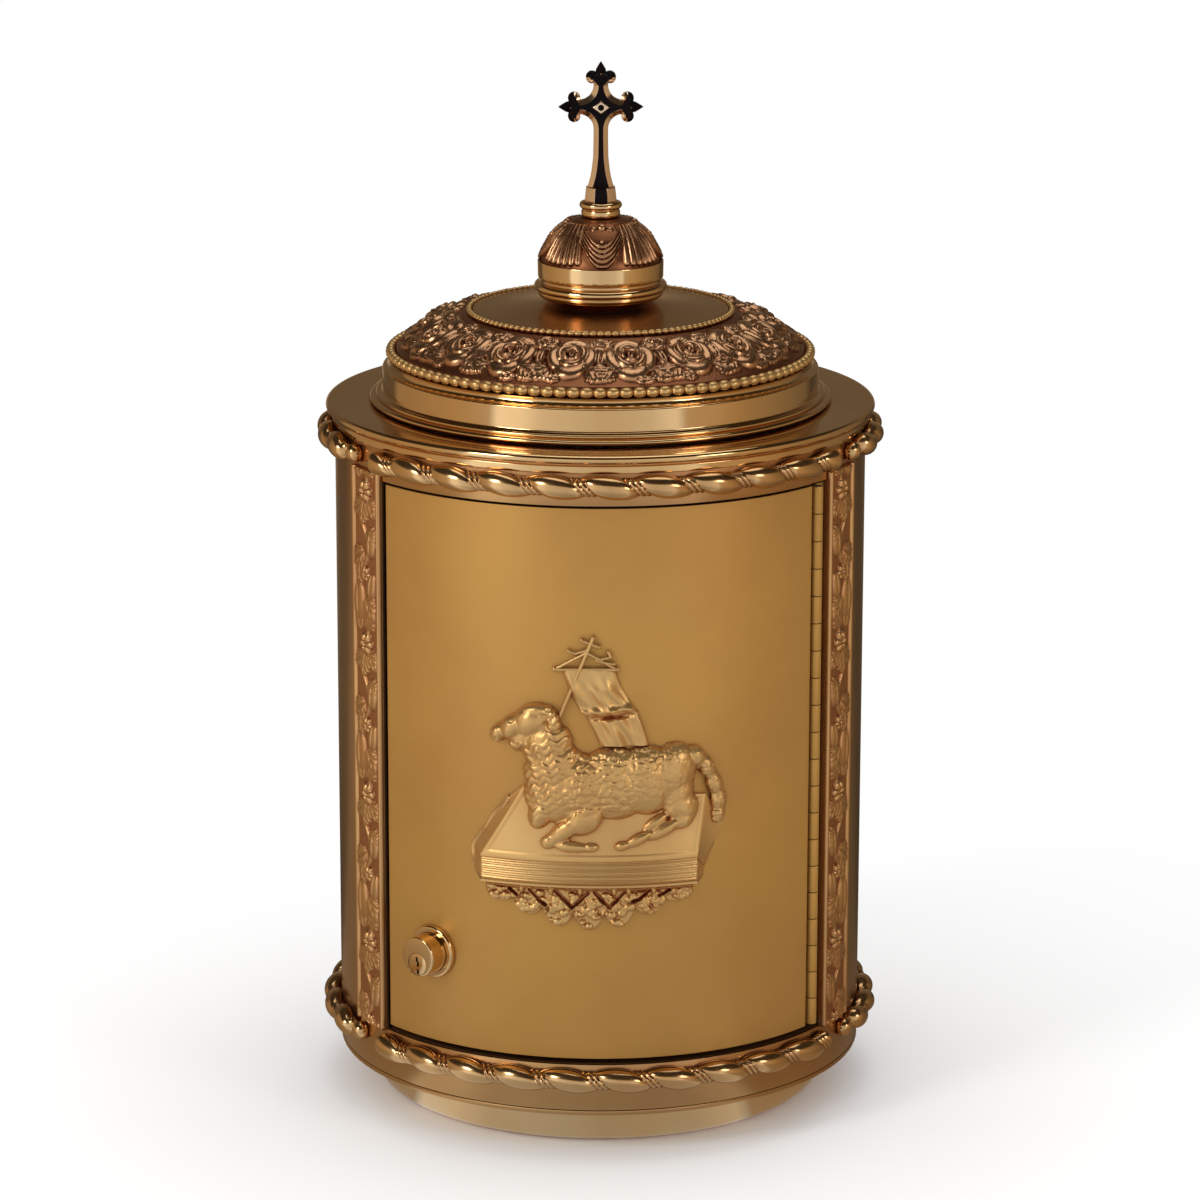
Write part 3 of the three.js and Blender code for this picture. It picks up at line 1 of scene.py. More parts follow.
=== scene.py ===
import json
import math
import random

import bmesh
import bpy
import numpy as np
from mathutils import Matrix, Vector, noise


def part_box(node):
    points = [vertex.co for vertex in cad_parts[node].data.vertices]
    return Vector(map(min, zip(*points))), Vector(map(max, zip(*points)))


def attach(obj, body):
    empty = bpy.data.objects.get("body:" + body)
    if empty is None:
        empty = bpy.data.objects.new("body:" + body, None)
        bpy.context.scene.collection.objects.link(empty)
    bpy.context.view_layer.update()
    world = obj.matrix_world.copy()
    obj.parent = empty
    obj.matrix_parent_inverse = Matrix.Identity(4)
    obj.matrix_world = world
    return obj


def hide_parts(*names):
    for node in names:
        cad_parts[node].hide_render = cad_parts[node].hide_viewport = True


# Altar tabernacle of gilt brass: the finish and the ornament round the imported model.
# Lengths in this script are millimetres and angles are degrees, until at() makes them metres.
# An azimuth is turned round the cabinet's axis, 0 at the door's middle and positive to the right.
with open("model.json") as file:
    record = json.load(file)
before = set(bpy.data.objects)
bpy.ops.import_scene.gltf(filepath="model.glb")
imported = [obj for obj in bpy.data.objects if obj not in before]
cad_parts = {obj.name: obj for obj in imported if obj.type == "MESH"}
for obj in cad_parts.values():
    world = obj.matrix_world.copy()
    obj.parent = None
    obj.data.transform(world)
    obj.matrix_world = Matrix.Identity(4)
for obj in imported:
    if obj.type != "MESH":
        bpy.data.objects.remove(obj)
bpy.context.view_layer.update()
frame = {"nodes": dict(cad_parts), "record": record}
MM = 0.001


def level(node, top):
    """The lowest or highest point of a node of the frame, in millimetres."""
    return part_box(node)[1 if top else 0][2] / MM


def middle_level(node):
    """The height of the middle of a node of the frame, in millimetres."""
    return (level(node, False) + level(node, True)) / 2


# Heights taken from the frame
FOOT_TOP = level("foot_ring", True)
PLATE_LOW = level("base_plate", False)
PLATE_TOP = level("base_plate", True)
WALL_LOW = level("body_shell", False)
WALL_TOP = level("body_shell", True)
FLOOR_TOP = level("floor_plate", True)
DOOR_LOW = level("door_panel", False)
DOOR_TOP = level("door_panel", True)
ROPE_LOW = middle_level("bottom_front_rope")
ROPE_HIGH = middle_level("top_front_rope")
STRIP_LOW = level("left_floral_strip", False)
STRIP_HIGH = level("left_floral_strip", True)
DECK = level("cornice", True)
DRUM_LOW = level("drum", False)
LEDGE = level("drum", True)
ROSE_LOW = level("rose_band", False)
SMALL_BEADS_LOW = level("inner_bead_ring", False)
CAP_LOW = level("dome_cap", False)
KNOP_LOW = level("knop_base", False)
KNOP_TOP = level("knop_base", True)
LEAVES_LOW = level("leaf_dome", False)
LEAVES_TOP = level("leaf_dome", True)
COLLAR_LOW = level("finial_collar", False)
COLLAR_TOP = level("finial_collar", True)
FERRULE_LOW = level("cross", False)
CROSS_TIP = level("cross", True)
SLAB_LOW = level("book_slab", False)
FRINGE_TOP = level("cloud_fringe", True)

# Sizes that the frame's boxes don't give. The gap is left where two pieces touch, and the backs of the
# lamb, banner, ribbon and bosses stand off the face by the seat as well.
GAP = 0.3
SEAT = 0.05
DOOR_GAP = 1.2
WALL_RADIUS = 150.0
WALL = 2.5
INNER_RADIUS = WALL_RADIUS - WALL
FIT_RADIUS = INNER_RADIUS - GAP
FACE_RADIUS = WALL_RADIUS + GAP
SILL = FLOOR_TOP
HEAD = DOOR_TOP + DOOR_GAP
STUD_BORE = 3.3
OPENING_ANGLE = 54.9
DOOR_LEFT = -53.4
DOOR_RIGHT = 49.3
ROPE_CENTRE = 154.0
ROPE_RADIUS = 6.8
FRONT_ROPE_ANGLE = 55.9
BACK_ROPE_ANGLE = 67.3
# Facets of the largest turned pieces and of the wall
ROUND_STEPS = 192
WALL_STEPS = 288


# Places and shapes
def at(azimuth, radius, z):
    """A point in metres from its azimuth, radius and height."""
    a = math.radians(azimuth)
    return Vector((radius * math.sin(a), -radius * math.cos(a), z)) * MM


def points_at(azimuth, radius, z):
    """The same for arrays of azimuths, radii and heights."""
    a = np.radians(azimuth)
    return np.stack(np.broadcast_arrays(radius * np.sin(a), -radius * np.cos(a), z), axis=-1) * MM


def bow(start, end, rise, steps=8):
    """Points of an arc after start up to end, which bulges to the right of the way by rise."""
    (x0, y0), (x1, y1) = start, end
    half = math.hypot(x1 - x0, y1 - y0) / 2
    radius = (half * half + rise * rise) / (2 * abs(rise))
    sweep = 2 * math.atan2(half, radius - abs(rise)) if abs(rise) <= radius else math.pi
    along = Vector((x1 - x0, y1 - y0)).normalized()
    side = Vector((along.y, -along.x)) * math.copysign(1, rise)
    middle = Vector((x0 + x1, y0 + y1)) / 2 - side * (radius - abs(rise))
    made = []
    for i in range(1, steps + 1):
        turn = -sweep / 2 + sweep * i / steps
        made.append(tuple(middle + (side * math.cos(turn) + along * math.sin(turn)) * radius))
    return made


def flowing(points, steps=5):
    """A smooth line through the points."""
    ends = [points[0]] + list(points) + [points[-1]]
    made = [tuple(points[0])]
    for i in range(1, len(ends) - 2):
        p0, p1, p2, p3 = (Vector(p) for p in ends[i - 1:i + 3])
        for k in range(1, steps + 1):
            t = k / steps
            made.append(tuple(
                0.5 * (2 * p1 + (p2 - p0) * t + (2 * p0 - 5 * p1 + 4 * p2 - p3) * t * t
                       + (3 * p1 - p0 - 3 * p2 + p3) * t ** 3)))
    return made


def capped(bm):
    """Fills the open ends of a shape."""
    bmesh.ops.holes_fill(bm, edges=[e for e in bm.edges if e.is_boundary], sides=0)
    return bm


def moved(bm, way):
    """Shifts a shape, in metres."""
    bmesh.ops.translate(bm, verts=bm.verts, vec=way)
    return bm


def turned(outline, steps=160, start=0.0, sweep=360.0):
    """Turns a closed outline of (radius, height) points round the cabinet's axis."""
    bm = bmesh.new()
    verts = [bm.verts.new(at(start, r, z)) for r, z in outline]
    edges = [bm.edges.new(pair) for pair in zip(verts, verts[1:] + verts[:1])]
    full = sweep == 360.0
    if not full:
        bm.faces.new(verts)
    bmesh.ops.spin(
        bm, geom=verts + edges + list(bm.faces), cent=(0, 0, 0), axis=(0, 0, 1),
        angle=math.radians(sweep), steps=steps, use_merge=full)
    bmesh.ops.remove_doubles(bm, verts=bm.verts, dist=1e-6)
    if not full:
        capped(bm)
    bmesh.ops.recalc_face_normals(bm, faces=bm.faces)
    return bm


def soften(bm, width, crease=28, segments=2):
    """Rounds the edges where two faces meet at more than the crease angle."""
    limit = math.radians(crease)
    sharp = [e for e in bm.edges if e.is_manifold and e.calc_face_angle(0) > limit]
    bmesh.ops.bevel(
        bm, geom=sharp, offset=width * MM, offset_type="OFFSET", segments=segments, profile=0.5,
        affect="EDGES", clamp_overlap=True, material=-1)
    return bm


def stand_on_wall(bm, azimuth, z):
    """Moves a shape turned round Z so that its Z points out of the wall and its Y up."""
    a = math.radians(azimuth)
    across = Vector((math.cos(a), math.sin(a), 0))
    out = Vector((math.sin(a), -math.cos(a), 0))
    turn = Matrix((across, Vector((0, 0, 1)), out)).transposed().to_4x4()
    bmesh.ops.transform(bm, matrix=Matrix.Translation((0, 0, z * MM)) @ turn, verts=bm.verts)
    return bm


def skin(rows, closed=False, relief=None):
    """Wraps a grid on rows of points in metres. Each row closes on itself; open ends are filled.

    Where the relief's height is given, in millimetres, the shape keeps it for its finish."""
    count, around = len(rows), len(rows[0])
    lines = count if closed else count - 1
    bm = bmesh.new()
    bmesh.ops.create_grid(bm, x_segments=around, y_segments=lines, size=1)
    raised = bm.verts.layers.float.new("raised") if relief is not None else None
    for k, vert in enumerate(bm.verts):
        i, j = divmod(k, around + 1)
        vert.co = rows[i % count][j % around]
        if raised is not None:
            vert[raised] = relief[i % count][j % around]
    bmesh.ops.remove_doubles(bm, verts=bm.verts, dist=1e-7)
    rim = [e for e in bm.edges if e.is_boundary]
    if rim:
        made = bmesh.ops.holes_fill(bm, edges=rim, sides=0)
        bmesh.ops.triangulate(bm, faces=made["faces"])
    bmesh.ops.recalc_face_normals(bm, faces=bm.faces)
    return bm


def joined(*shapes):
    """Puts several shapes into the first one."""
    whole = shapes[0]
    for shape in shapes[1:]:
        part = bpy.data.meshes.new("part")
        shape.to_mesh(part)
        shape.free()
        whole.from_mesh(part)
        bpy.data.meshes.remove(part)
    return whole


def piece(bm, node, finish, body, crease=35, second=None):
    """Makes a shape the visible piece that stands for a node of the frame.

    Its faces with material index 1 get the second finish."""
    mesh = bpy.data.meshes.new(node + "_finished")
    bm.to_mesh(mesh)
    bm.free()
    mesh.polygons.foreach_set("use_smooth", [True] * len(mesh.polygons))
    mesh.set_sharp_from_angle(angle=math.radians(crease))
    obj = bpy.data.objects.new(node + "_finished", mesh)
    bpy.context.scene.collection.objects.link(obj)
    mesh.materials.append(finish)
    if second is not None:
        mesh.materials.append(second)
    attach(obj, body)
    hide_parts(node)
    return obj


def bored(obj, *cutters):
    """Cuts holes in a finished piece."""
    for cutter in cutters:
        mesh = bpy.data.meshes.new("cutter")
        cutter.to_mesh(mesh)
        cutter.free()
        tool = bpy.data.objects.new("cutter", mesh)
        bpy.context.scene.collection.objects.link(tool)
        bore = obj.modifiers.new("bore", "BOOLEAN")
        bore.operation = "DIFFERENCE"
        bore.object = tool
        bore.solver = "EXACT"
        shaped = bpy.data.meshes.new_from_object(obj.evaluated_get(bpy.context.evaluated_depsgraph_get()))
        obj.modifiers.remove(bore)
        old = obj.data
        obj.data = shaped
        shaped.name = old.name
        bpy.data.meshes.remove(old)
        bpy.data.objects.remove(tool)
    return obj


# Node groups shared by the finishes
def node_group(name, inputs, outputs):
    group = bpy.data.node_groups.new(name, "ShaderNodeTree")
    for socket, kind, value in inputs:
        made = group.interface.new_socket(socket, in_out="INPUT", socket_type=kind)
        if value is not None:
            made.default_value = value
    for socket, kind in outputs:
        group.interface.new_socket(socket, in_out="OUTPUT", socket_type=kind)
    return group, group.nodes.new("NodeGroupInput"), group.nodes.new("NodeGroupOutput")


def math_node(tree, operation, a, b=None, c=None):
    node = tree.nodes.new("ShaderNodeMath")
    node.operation = operation
    for socket, value in zip(node.inputs, (a, b, c)):
        if value is None:
            continue
        if isinstance(value, (int, float)):
            socket.default_value = value
        else:
            tree.links.new(value, socket)
    return node.outputs[0]


def map_range(tree, value, low, high, to_low=0.0, to_high=1.0, smooth=True):
    node = tree.nodes.new("ShaderNodeMapRange")
    node.interpolation_type = "SMOOTHSTEP" if smooth else "LINEAR"
    tree.links.new(value, node.inputs["Value"])
    for socket, number in (("From Min", low), ("From Max", high), ("To Min", to_low), ("To Max", to_high)):
        node.inputs[socket].default_value = number
    return node.outputs["Result"]


def noise_node(tree, vector, scale, detail=3.0, roughness=0.5):
    node = tree.nodes.new("ShaderNodeTexNoise")
    tree.links.new(vector, node.inputs["Vector"])
    node.inputs["Scale"].default_value = scale
    node.inputs["Detail"].default_value = detail
    node.inputs["Roughness"].default_value = roughness
    return node.outputs["Fac"]


def mix_colour(tree, fac, a, b):
    node = tree.nodes.new("ShaderNodeMix")
    node.data_type = "RGBA"
    for socket, value in ((node.inputs[0], fac), (node.inputs[6], a), (node.inputs[7], b)):
        if isinstance(value, bpy.types.NodeSocket):
            tree.links.new(value, socket)
        else:
            socket.default_value = value
    return node.outputs[2]


def make_patina_and_shade_group():
    """How deep a point lies among its neighbours, by ambient occlusion: patina gathers there and painted
    shade darkens it, and the ridges are rubbed bright.
    """
    group, into, out = node_group(
        "recess_patina_and_painted_shade",
        [("Gilt", "NodeSocketColor", None), ("Patina", "NodeSocketColor", None),
         ("Reach", "NodeSocketFloat", 0.004), ("Amount", "NodeSocketFloat", 1.0)],
        [("Colour", "NodeSocketColor"), ("Recess", "NodeSocketFloat")])
    shade = group.nodes.new("ShaderNodeAmbientOcclusion")
    shade.samples = 6
    group.links.new(into.outputs["Reach"], shade.inputs["Distance"])
    depth = map_range(group, shade.outputs["AO"], 0.92, 0.35)
    place = group.nodes.new("ShaderNodeTexCoord").outputs["Object"]
    patches = map_range(group, noise_node(group, place, 160.0), 0.3, 0.7, 0.65, 1.0)
    # Share of the patina colour mixed in: real patina in the hollows, and painted shade where they are
    # occluded
    patina_and_shade_share = math_node(group, "MULTIPLY", math_node(group, "MULTIPLY", depth, patches), into.outputs["Amount"])
    colour = mix_colour(group, patina_and_shade_share, into.outputs["Gilt"], into.outputs["Patina"])
    group.links.new(colour, out.inputs["Colour"])
    group.links.new(patina_and_shade_share, out.inputs["Recess"])
    return group


def make_handling_group():
    """Uneven tone of old gilding, and the smears that hands and cloths leave on it."""
    group, into, out = node_group(
        "handling",
        [("Base", "NodeSocketColor", None), ("Warm", "NodeSocketColor", None),
         ("Amount", "NodeSocketFloat", 1.0), ("Rough", "NodeSocketFloat", 0.2),
         ("Spread", "NodeSocketFloat", 0.1)],
        [("Colour", "NodeSocketColor"), ("Roughness", "NodeSocketFloat")])
    place = group.nodes.new("ShaderNodeTexCoord").outputs["Object"]
    broad = map_range(group, noise_node(group, place, 9.0, 4.0, 0.6), 0.35, 0.68)
    tone = math_node(group, "MULTIPLY", broad, into.outputs["Amount"])
    colour = mix_colour(group, tone, into.outputs["Base"], into.outputs["Warm"])
    smears = noise_node(group, place, 38.0, 5.0, 0.62)
    rough = math_node(group, "MULTIPLY_ADD", smears, into.outputs["Spread"], into.outputs["Rough"])
    group.links.new(colour, out.inputs["Colour"])
    group.links.new(rough, out.inputs["Roughness"])
    return group


def make_lathe_group():
    """Height of the fine rings that turning and polishing leave round the cabinet's axis."""
    group, into, out = node_group(
        "lathe_rings", [("Scale", "NodeSocketFloat", 1400.0)], [("Height", "NodeSocketFloat")])
    place = group.nodes.new("ShaderNodeTexCoord").outputs["Object"]
    split = group.nodes.new("ShaderNodeSeparateXYZ")
    group.links.new(place, split.inputs[0])
    x, y, z = split.outputs
    radius = math_node(group, "SQRT", math_node(
        group, "ADD", math_node(group, "MULTIPLY", x, x), math_node(group, "MULTIPLY", y, y)))
    turn = math_node(group, "MULTIPLY", math_node(group, "ARCTAN2", x, y), 0.002)
    rings = group.nodes.new("ShaderNodeCombineXYZ")
    for socket, value in zip(rings.inputs, (radius, turn, z)):
        group.links.new(value, socket)
    lines = group.nodes.new("ShaderNodeTexNoise")
    lines.inputs["Detail"].default_value = 2.0
    group.links.new(rings.outputs[0], lines.inputs["Vector"])
    group.links.new(into.outputs["Scale"], lines.inputs["Scale"])
    group.links.new(lines.outputs["Fac"], out.inputs["Height"])
    return group


def make_grain_group():
    """Height of a fine even grain, as a satin or a cast surface has."""
    group, into, out = node_group(
        "fine_grain", [("Scale", "NodeSocketFloat", 900.0)], [("Height", "NodeSocketFloat")])
    place = group.nodes.new("ShaderNodeTexCoord").outputs["Object"]
    grain = group.nodes.new("ShaderNodeTexNoise")
    grain.inputs["Detail"].default_value = 3.0
    group.links.new(place, grain.inputs["Vector"])
    group.links.new(into.outputs["Scale"], grain.inputs["Scale"])
    group.links.new(grain.outputs["Fac"], out.inputs["Height"])
    return group


PATINA_AND_SHADE = make_patina_and_shade_group()
HANDLING = make_handling_group()
LATHE = make_lathe_group()
GRAIN = make_grain_group()


def use_group(tree, group, **values):
    node = tree.nodes.new("ShaderNodeGroup")
    node.node_tree = group
    for name, value in values.items():
        if isinstance(value, bpy.types.NodeSocket):
            tree.links.new(value, node.inputs[name])
        else:
            node.inputs[name].default_value = value
    return node


# Heights between which a carved piece changes from its ground to its raised finish
GROUND_RISE = (0.35, 1.5)
# What the ground and the patina add to a finish's roughness
GROUND_DULLNESS = 0.1
PATINA_DULLNESS = 0.2


def metal(name, slot, base, warm, patina_and_shade, rough, spread, reach, recess, surface, scale, height, metallic=1.0,
          ground=None):
    """A gilt or bare metal finish: uneven tone, patina and painted shade in the recesses and a fine surface.

    With a ground colour, what isn't raised over the piece's ground is duller and has that colour.
    The reach of the patina and painted shade, and the fine surface's height, are in millimetres."""
    material = bpy.data.materials.new(name)
    material["slot"] = slot
    material.use_nodes = True
    tree = material.node_tree
    shader = tree.nodes["Principled BSDF"]
    shader.inputs["Metallic"].default_value = metallic
    handled = use_group(tree, HANDLING, Base=base, Warm=warm, Rough=rough, Spread=spread)
    gilt, dullness = handled.outputs["Colour"], handled.outputs["Roughness"]
    if ground is not None:
        raised = tree.nodes.new("ShaderNodeAttribute")
        raised.attribute_name = "raised"
        sunk = map_range(tree, raised.outputs["Fac"], *GROUND_RISE, 1.0, 0.0)
        gilt = mix_colour(tree, sunk, gilt, ground)
        dullness = math_node(tree, "MULTIPLY_ADD", sunk, GROUND_DULLNESS, dullness)
    # The recesses take the patina colour by ambient occlusion, as patina and as painted shade
    dark = use_group(tree, PATINA_AND_SHADE, Gilt=gilt, Patina=patina_and_shade, Reach=reach * MM, Amount=recess)
    fine = use_group(tree, surface, Scale=scale)
    bump = tree.nodes.new("ShaderNodeBump")
    bump.inputs["Strength"].default_value = 0.5
    bump.inputs["Distance"].default_value = height * MM
    tree.links.new(fine.outputs["Height"], bump.inputs["Height"])
    tree.links.new(dark.outputs["Colour"], shader.inputs["Base Color"])
    tree.links.new(bump.outputs["Normal"], shader.inputs["Normal"])
    duller = math_node(tree, "MULTIPLY_ADD", dark.outputs["Recess"], PATINA_DULLNESS, dullness)
    tree.links.new(duller, shader.inputs["Roughness"])
    return material


def enamel():
    """Black oxidised inlay of the cross."""
    material = bpy.data.materials.new("black_inlay")
    material["slot"] = "polished_gilt"
    material.use_nodes = True
    tree = material.node_tree
    shader = tree.nodes["Principled BSDF"]
    handled = use_group(
        tree, HANDLING, Base=(0.003, 0.002, 0.003, 1), Warm=(0.008, 0.004, 0.004, 1),
        Rough=0.14, Spread=0.12)
    shader.inputs["Specular IOR Level"].default_value = 0.05
    tree.links.new(handled.outputs["Colour"], shader.inputs["Base Color"])
    tree.links.new(handled.outputs["Roughness"], shader.inputs["Roughness"])
    return material


POLISHED = metal(
    "polished_gilt", "polished_gilt", base=(0.78, 0.53, 0.27, 1), warm=(0.74, 0.46, 0.20, 1),
    patina_and_shade=(0.40, 0.12, 0.05, 1), rough=0.05, spread=0.08, reach=3.0, recess=0.6,
    surface=LATHE, scale=900.0, height=0.004)
SATIN = metal(
    "satin_gilt", "satin_gilt", base=(0.51, 0.27, 0.061, 1), warm=(0.47, 0.24, 0.057, 1),
    patina_and_shade=(0.2, 0.05, 0.02, 1), rough=0.42, spread=0.08, reach=2.5, recess=0.35,
    surface=GRAIN, scale=1500.0, height=0.006, metallic=0.55)
BURNISHED = metal(
    "burnished_gilt", "satin_gilt", base=(0.58, 0.34, 0.14, 1), warm=(0.52, 0.27, 0.11, 1),
    patina_and_shade=(0.36, 0.11, 0.05, 1), rough=0.18, spread=0.08, reach=4.0, recess=0.6,
    surface=GRAIN, scale=1500.0, height=0.006)
RELIEF = metal(
    "relief_gilt", "relief_gilt", base=(0.72, 0.46, 0.18, 1), warm=(0.66, 0.38, 0.14, 1),
    patina_and_shade=(0.32, 0.07, 0.025, 1), rough=0.30, spread=0.12, reach=3.5, recess=1.1,
    surface=GRAIN, scale=700.0, height=0.012, metallic=0.9)
ANTIQUE = metal(
    "antique_relief", "relief_gilt", base=(0.62, 0.35, 0.18, 1), warm=(0.52, 0.26, 0.13, 1),
    patina_and_shade=(0.12, 0.028, 0.016, 1), rough=0.20, spread=0.12, reach=5.0, recess=1.1,
    surface=GRAIN, scale=700.0, height=0.012, ground=(0.27, 0.105, 0.045, 1))
VINE_RELIEF = metal(
    "vine_relief", "relief_gilt", base=(0.70, 0.42, 0.18, 1), warm=(0.62, 0.34, 0.15, 1),
    patina_and_shade=(0.36, 0.08, 0.04, 1), rough=0.3, spread=0.12, reach=3.0, recess=1.0,
    surface=GRAIN, scale=700.0, height=0.012, ground=(0.48, 0.23, 0.10, 1))
CROSS_GILT = metal(
    "cross_gilt", "polished_gilt", base=(0.93, 0.72, 0.53, 1), warm=(0.88, 0.64, 0.43, 1),
    patina_and_shade=(0.3, 0.08, 0.04, 1), rough=0.06, spread=0.08, reach=2.0, recess=0.8,
    surface=GRAIN, scale=1200.0, height=0.003)
CORDED = metal(
    "corded_gilt", "polished_gilt", base=(0.72, 0.46, 0.22, 1), warm=(0.66, 0.39, 0.17, 1),
    patina_and_shade=(0.24, 0.05, 0.02, 1), rough=0.13, spread=0.10, reach=3.0, recess=1.0,
    surface=GRAIN, scale=1200.0, height=0.004)
# Inside faces and the edges of the opening and the door: unpolished metal, darkened further as painted shade
# so that the gap round the door reads black
UNPOLISHED_AND_SHADED = metal(
    "unpolished_and_shaded_inside", "satin_gilt", base=(0.33, 0.16, 0.06, 1), warm=(0.27, 0.12, 0.047, 1),
    patina_and_shade=(0.12, 0.035, 0.018, 1), rough=0.52, spread=0.12, reach=3.0, recess=0.8,
    surface=GRAIN, scale=1200.0, height=0.008)
DARK_BRASS = metal(
    "dark_brass", "dark_brass", base=(0.28, 0.16, 0.05, 1), warm=(0.22, 0.11, 0.035, 1),
    patina_and_shade=(0.05, 0.02, 0.01, 1), rough=0.32, spread=0.15, reach=2.0, recess=0.8,
    surface=GRAIN, scale=1200.0, height=0.01)
STEEL = metal(
    "bright_steel", "steel", base=(0.52, 0.52, 0.50, 1), warm=(0.42, 0.41, 0.38, 1),
    patina_and_shade=(0.12, 0.09, 0.06, 1), rough=0.25, spread=0.15, reach=2.0, recess=0.6,
    surface=GRAIN, scale=1200.0, height=0.01)
BLACK = enamel()


# Camera at the photograph's place
CAMERA_PLACE = (-0.07628, -2.73093, 0.983)
CAMERA_TILT = 75.595
CAMERA_TURN = -1.6
CAMERA_ROLL = 0.1
CAMERA_LENS = 148.1
CAMERA_SENSOR = 36.0


def set_camera():
    data = bpy.data.cameras.new("camera")
    data.lens = CAMERA_LENS
    data.sensor_width = CAMERA_SENSOR
    data.clip_end = 100.0
    camera = bpy.data.objects.new("camera", data)
    turn = Matrix.Rotation(math.radians(CAMERA_TURN), 4, "Z")
    tilt = Matrix.Rotation(math.radians(CAMERA_TILT), 4, "X")
    roll = Matrix.Rotation(math.radians(CAMERA_ROLL), 4, "Z")
    camera.matrix_world = Matrix.Translation(CAMERA_PLACE) @ turn @ tilt @ roll
    bpy.context.scene.collection.objects.link(camera)
    bpy.context.scene.camera = camera


# Studio: how bright the room is round the cabinet, by azimuth
ROOM = [
    (-180, 0.52), (-166, 0.38), (-158, 0.12), (-138, 0.13), (-132, 0.36), (-96, 0.46), (-60, 0.58),
    (-56, 1.15), (-44, 1.12), (-32, 0.82), (0, 0.66), (24, 0.72), (38, 0.94), (43, 0.56), (62, 0.52),
    (84, 0.37), (132, 0.18), (142, 0.07), (158, 0.10), (168, 0.28), (180, 0.52),
]
# The room's other lights, and the ranges of direction or distance over which each takes over. Upwards is
# the Z of a direction, and backwards its Y.
CEILING_LIGHT = 0.04
CEILING_UPWARDS = (0.36, 0.52)
LOW_BACK_LIGHT = 0.15
LOW_BACK_BACKWARDS = (0.55, 0.85)
LOW_BACK_UPWARDS = (0.02, 0.1)
NEAR_FLOOR_LIGHT = 0.62
NEAR_FLOOR_REACH = (0.3, 1.0)
WHITE_FLOOR_REACH = (0.3, 0.8)
DIM_TINT = (1.0, 0.74, 0.46, 1)
DIM_LIGHT = (0.48, 0.72)


def make_room_group():
    """Brightness and tint of the room in the direction of Vector, as polished metal sees it."""
    group, into, out = node_group(
        "room", [("Vector", "NodeSocketVector", None)],
        [("Light", "NodeSocketFloat"), ("Tint", "NodeSocketColor")])
    straight = group.nodes.new("ShaderNodeVectorMath")
    straight.operation = "NORMALIZE"
    group.links.new(into.outputs["Vector"], straight.inputs[0])
    split = group.nodes.new("ShaderNodeSeparateXYZ")
    group.links.new(straight.outputs[0], split.inputs[0])
    x, y, z = split.outputs
    azimuth = math_node(group, "ARCTAN2", x, math_node(group, "MULTIPLY", y, -1.0))
    share = map_range(group, azimuth, -math.pi, math.pi, smooth=False)
    ramp = group.nodes.new("ShaderNodeValToRGB")
    group.links.new(share, ramp.inputs[0])
    stops = ramp.color_ramp.elements
    while len(stops) < len(ROOM):
        stops.new(0.5)
    for stop, (degrees, light) in zip(stops, ROOM):
        stop.position = (degrees + 180) / 360
        stop.color = (light, light, light, 1)
    around = group.nodes.new("ShaderNodeRGBToBW")
    group.links.new(ramp.outputs[0], around.inputs[0])
    behind = math_node(
        group, "MULTIPLY", map_range(group, y, *LOW_BACK_BACKWARDS), map_range(group, z, *LOW_BACK_UPWARDS))
    low = math_node(group, "MULTIPLY_ADD", behind, math_node(
        group, "SUBTRACT", LOW_BACK_LIGHT, around.outputs[0]), around.outputs[0])
    overhead = map_range(group, z, *CEILING_UPWARDS)
    light = math_node(group, "MULTIPLY_ADD", overhead, math_node(
        group, "SUBTRACT", CEILING_LIGHT, low), low)
    group.links.new(light, out.inputs["Light"])
    tint = mix_colour(group, map_range(group, light, *DIM_LIGHT), DIM_TINT, (1, 1, 1, 1))
    group.links.new(tint, out.inputs["Tint"])
    return group


ROOM_LIGHT = make_room_group()
# Brightness of the world to everything but reflections and the camera
SOFT_LIGHT = 0.86
FLOOR_RADIUS = 40.0


def set_world():
    world = bpy.data.worlds.new("studio")
    bpy.context.scene.world = world
    world.use_nodes = True
    tree = world.node_tree
    backdrop = tree.nodes["Background"]
    path = tree.nodes.new("ShaderNodeLightPath")
    toward = tree.nodes.new("ShaderNodeTexCoord").outputs["Generated"]
    room = use_group(tree, ROOM_LIGHT, Vector=toward)
    seen = math_node(tree, "MULTIPLY_ADD", path.outputs["Is Glossy Ray"], math_node(
        tree, "SUBTRACT", room.outputs["Light"], SOFT_LIGHT), SOFT_LIGHT)
    colour = mix_colour(tree, path.outputs["Is Glossy Ray"], (1, 1, 1, 1), room.outputs["Tint"])
    tree.links.new(colour, backdrop.inputs["Color"])
    white = math_node(tree, "MAXIMUM", path.outputs["Is Camera Ray"], path.outputs["Is Transmission Ray"])
    strength = math_node(tree, "MAXIMUM", seen, white)
    tree.links.new(strength, backdrop.inputs["Strength"])


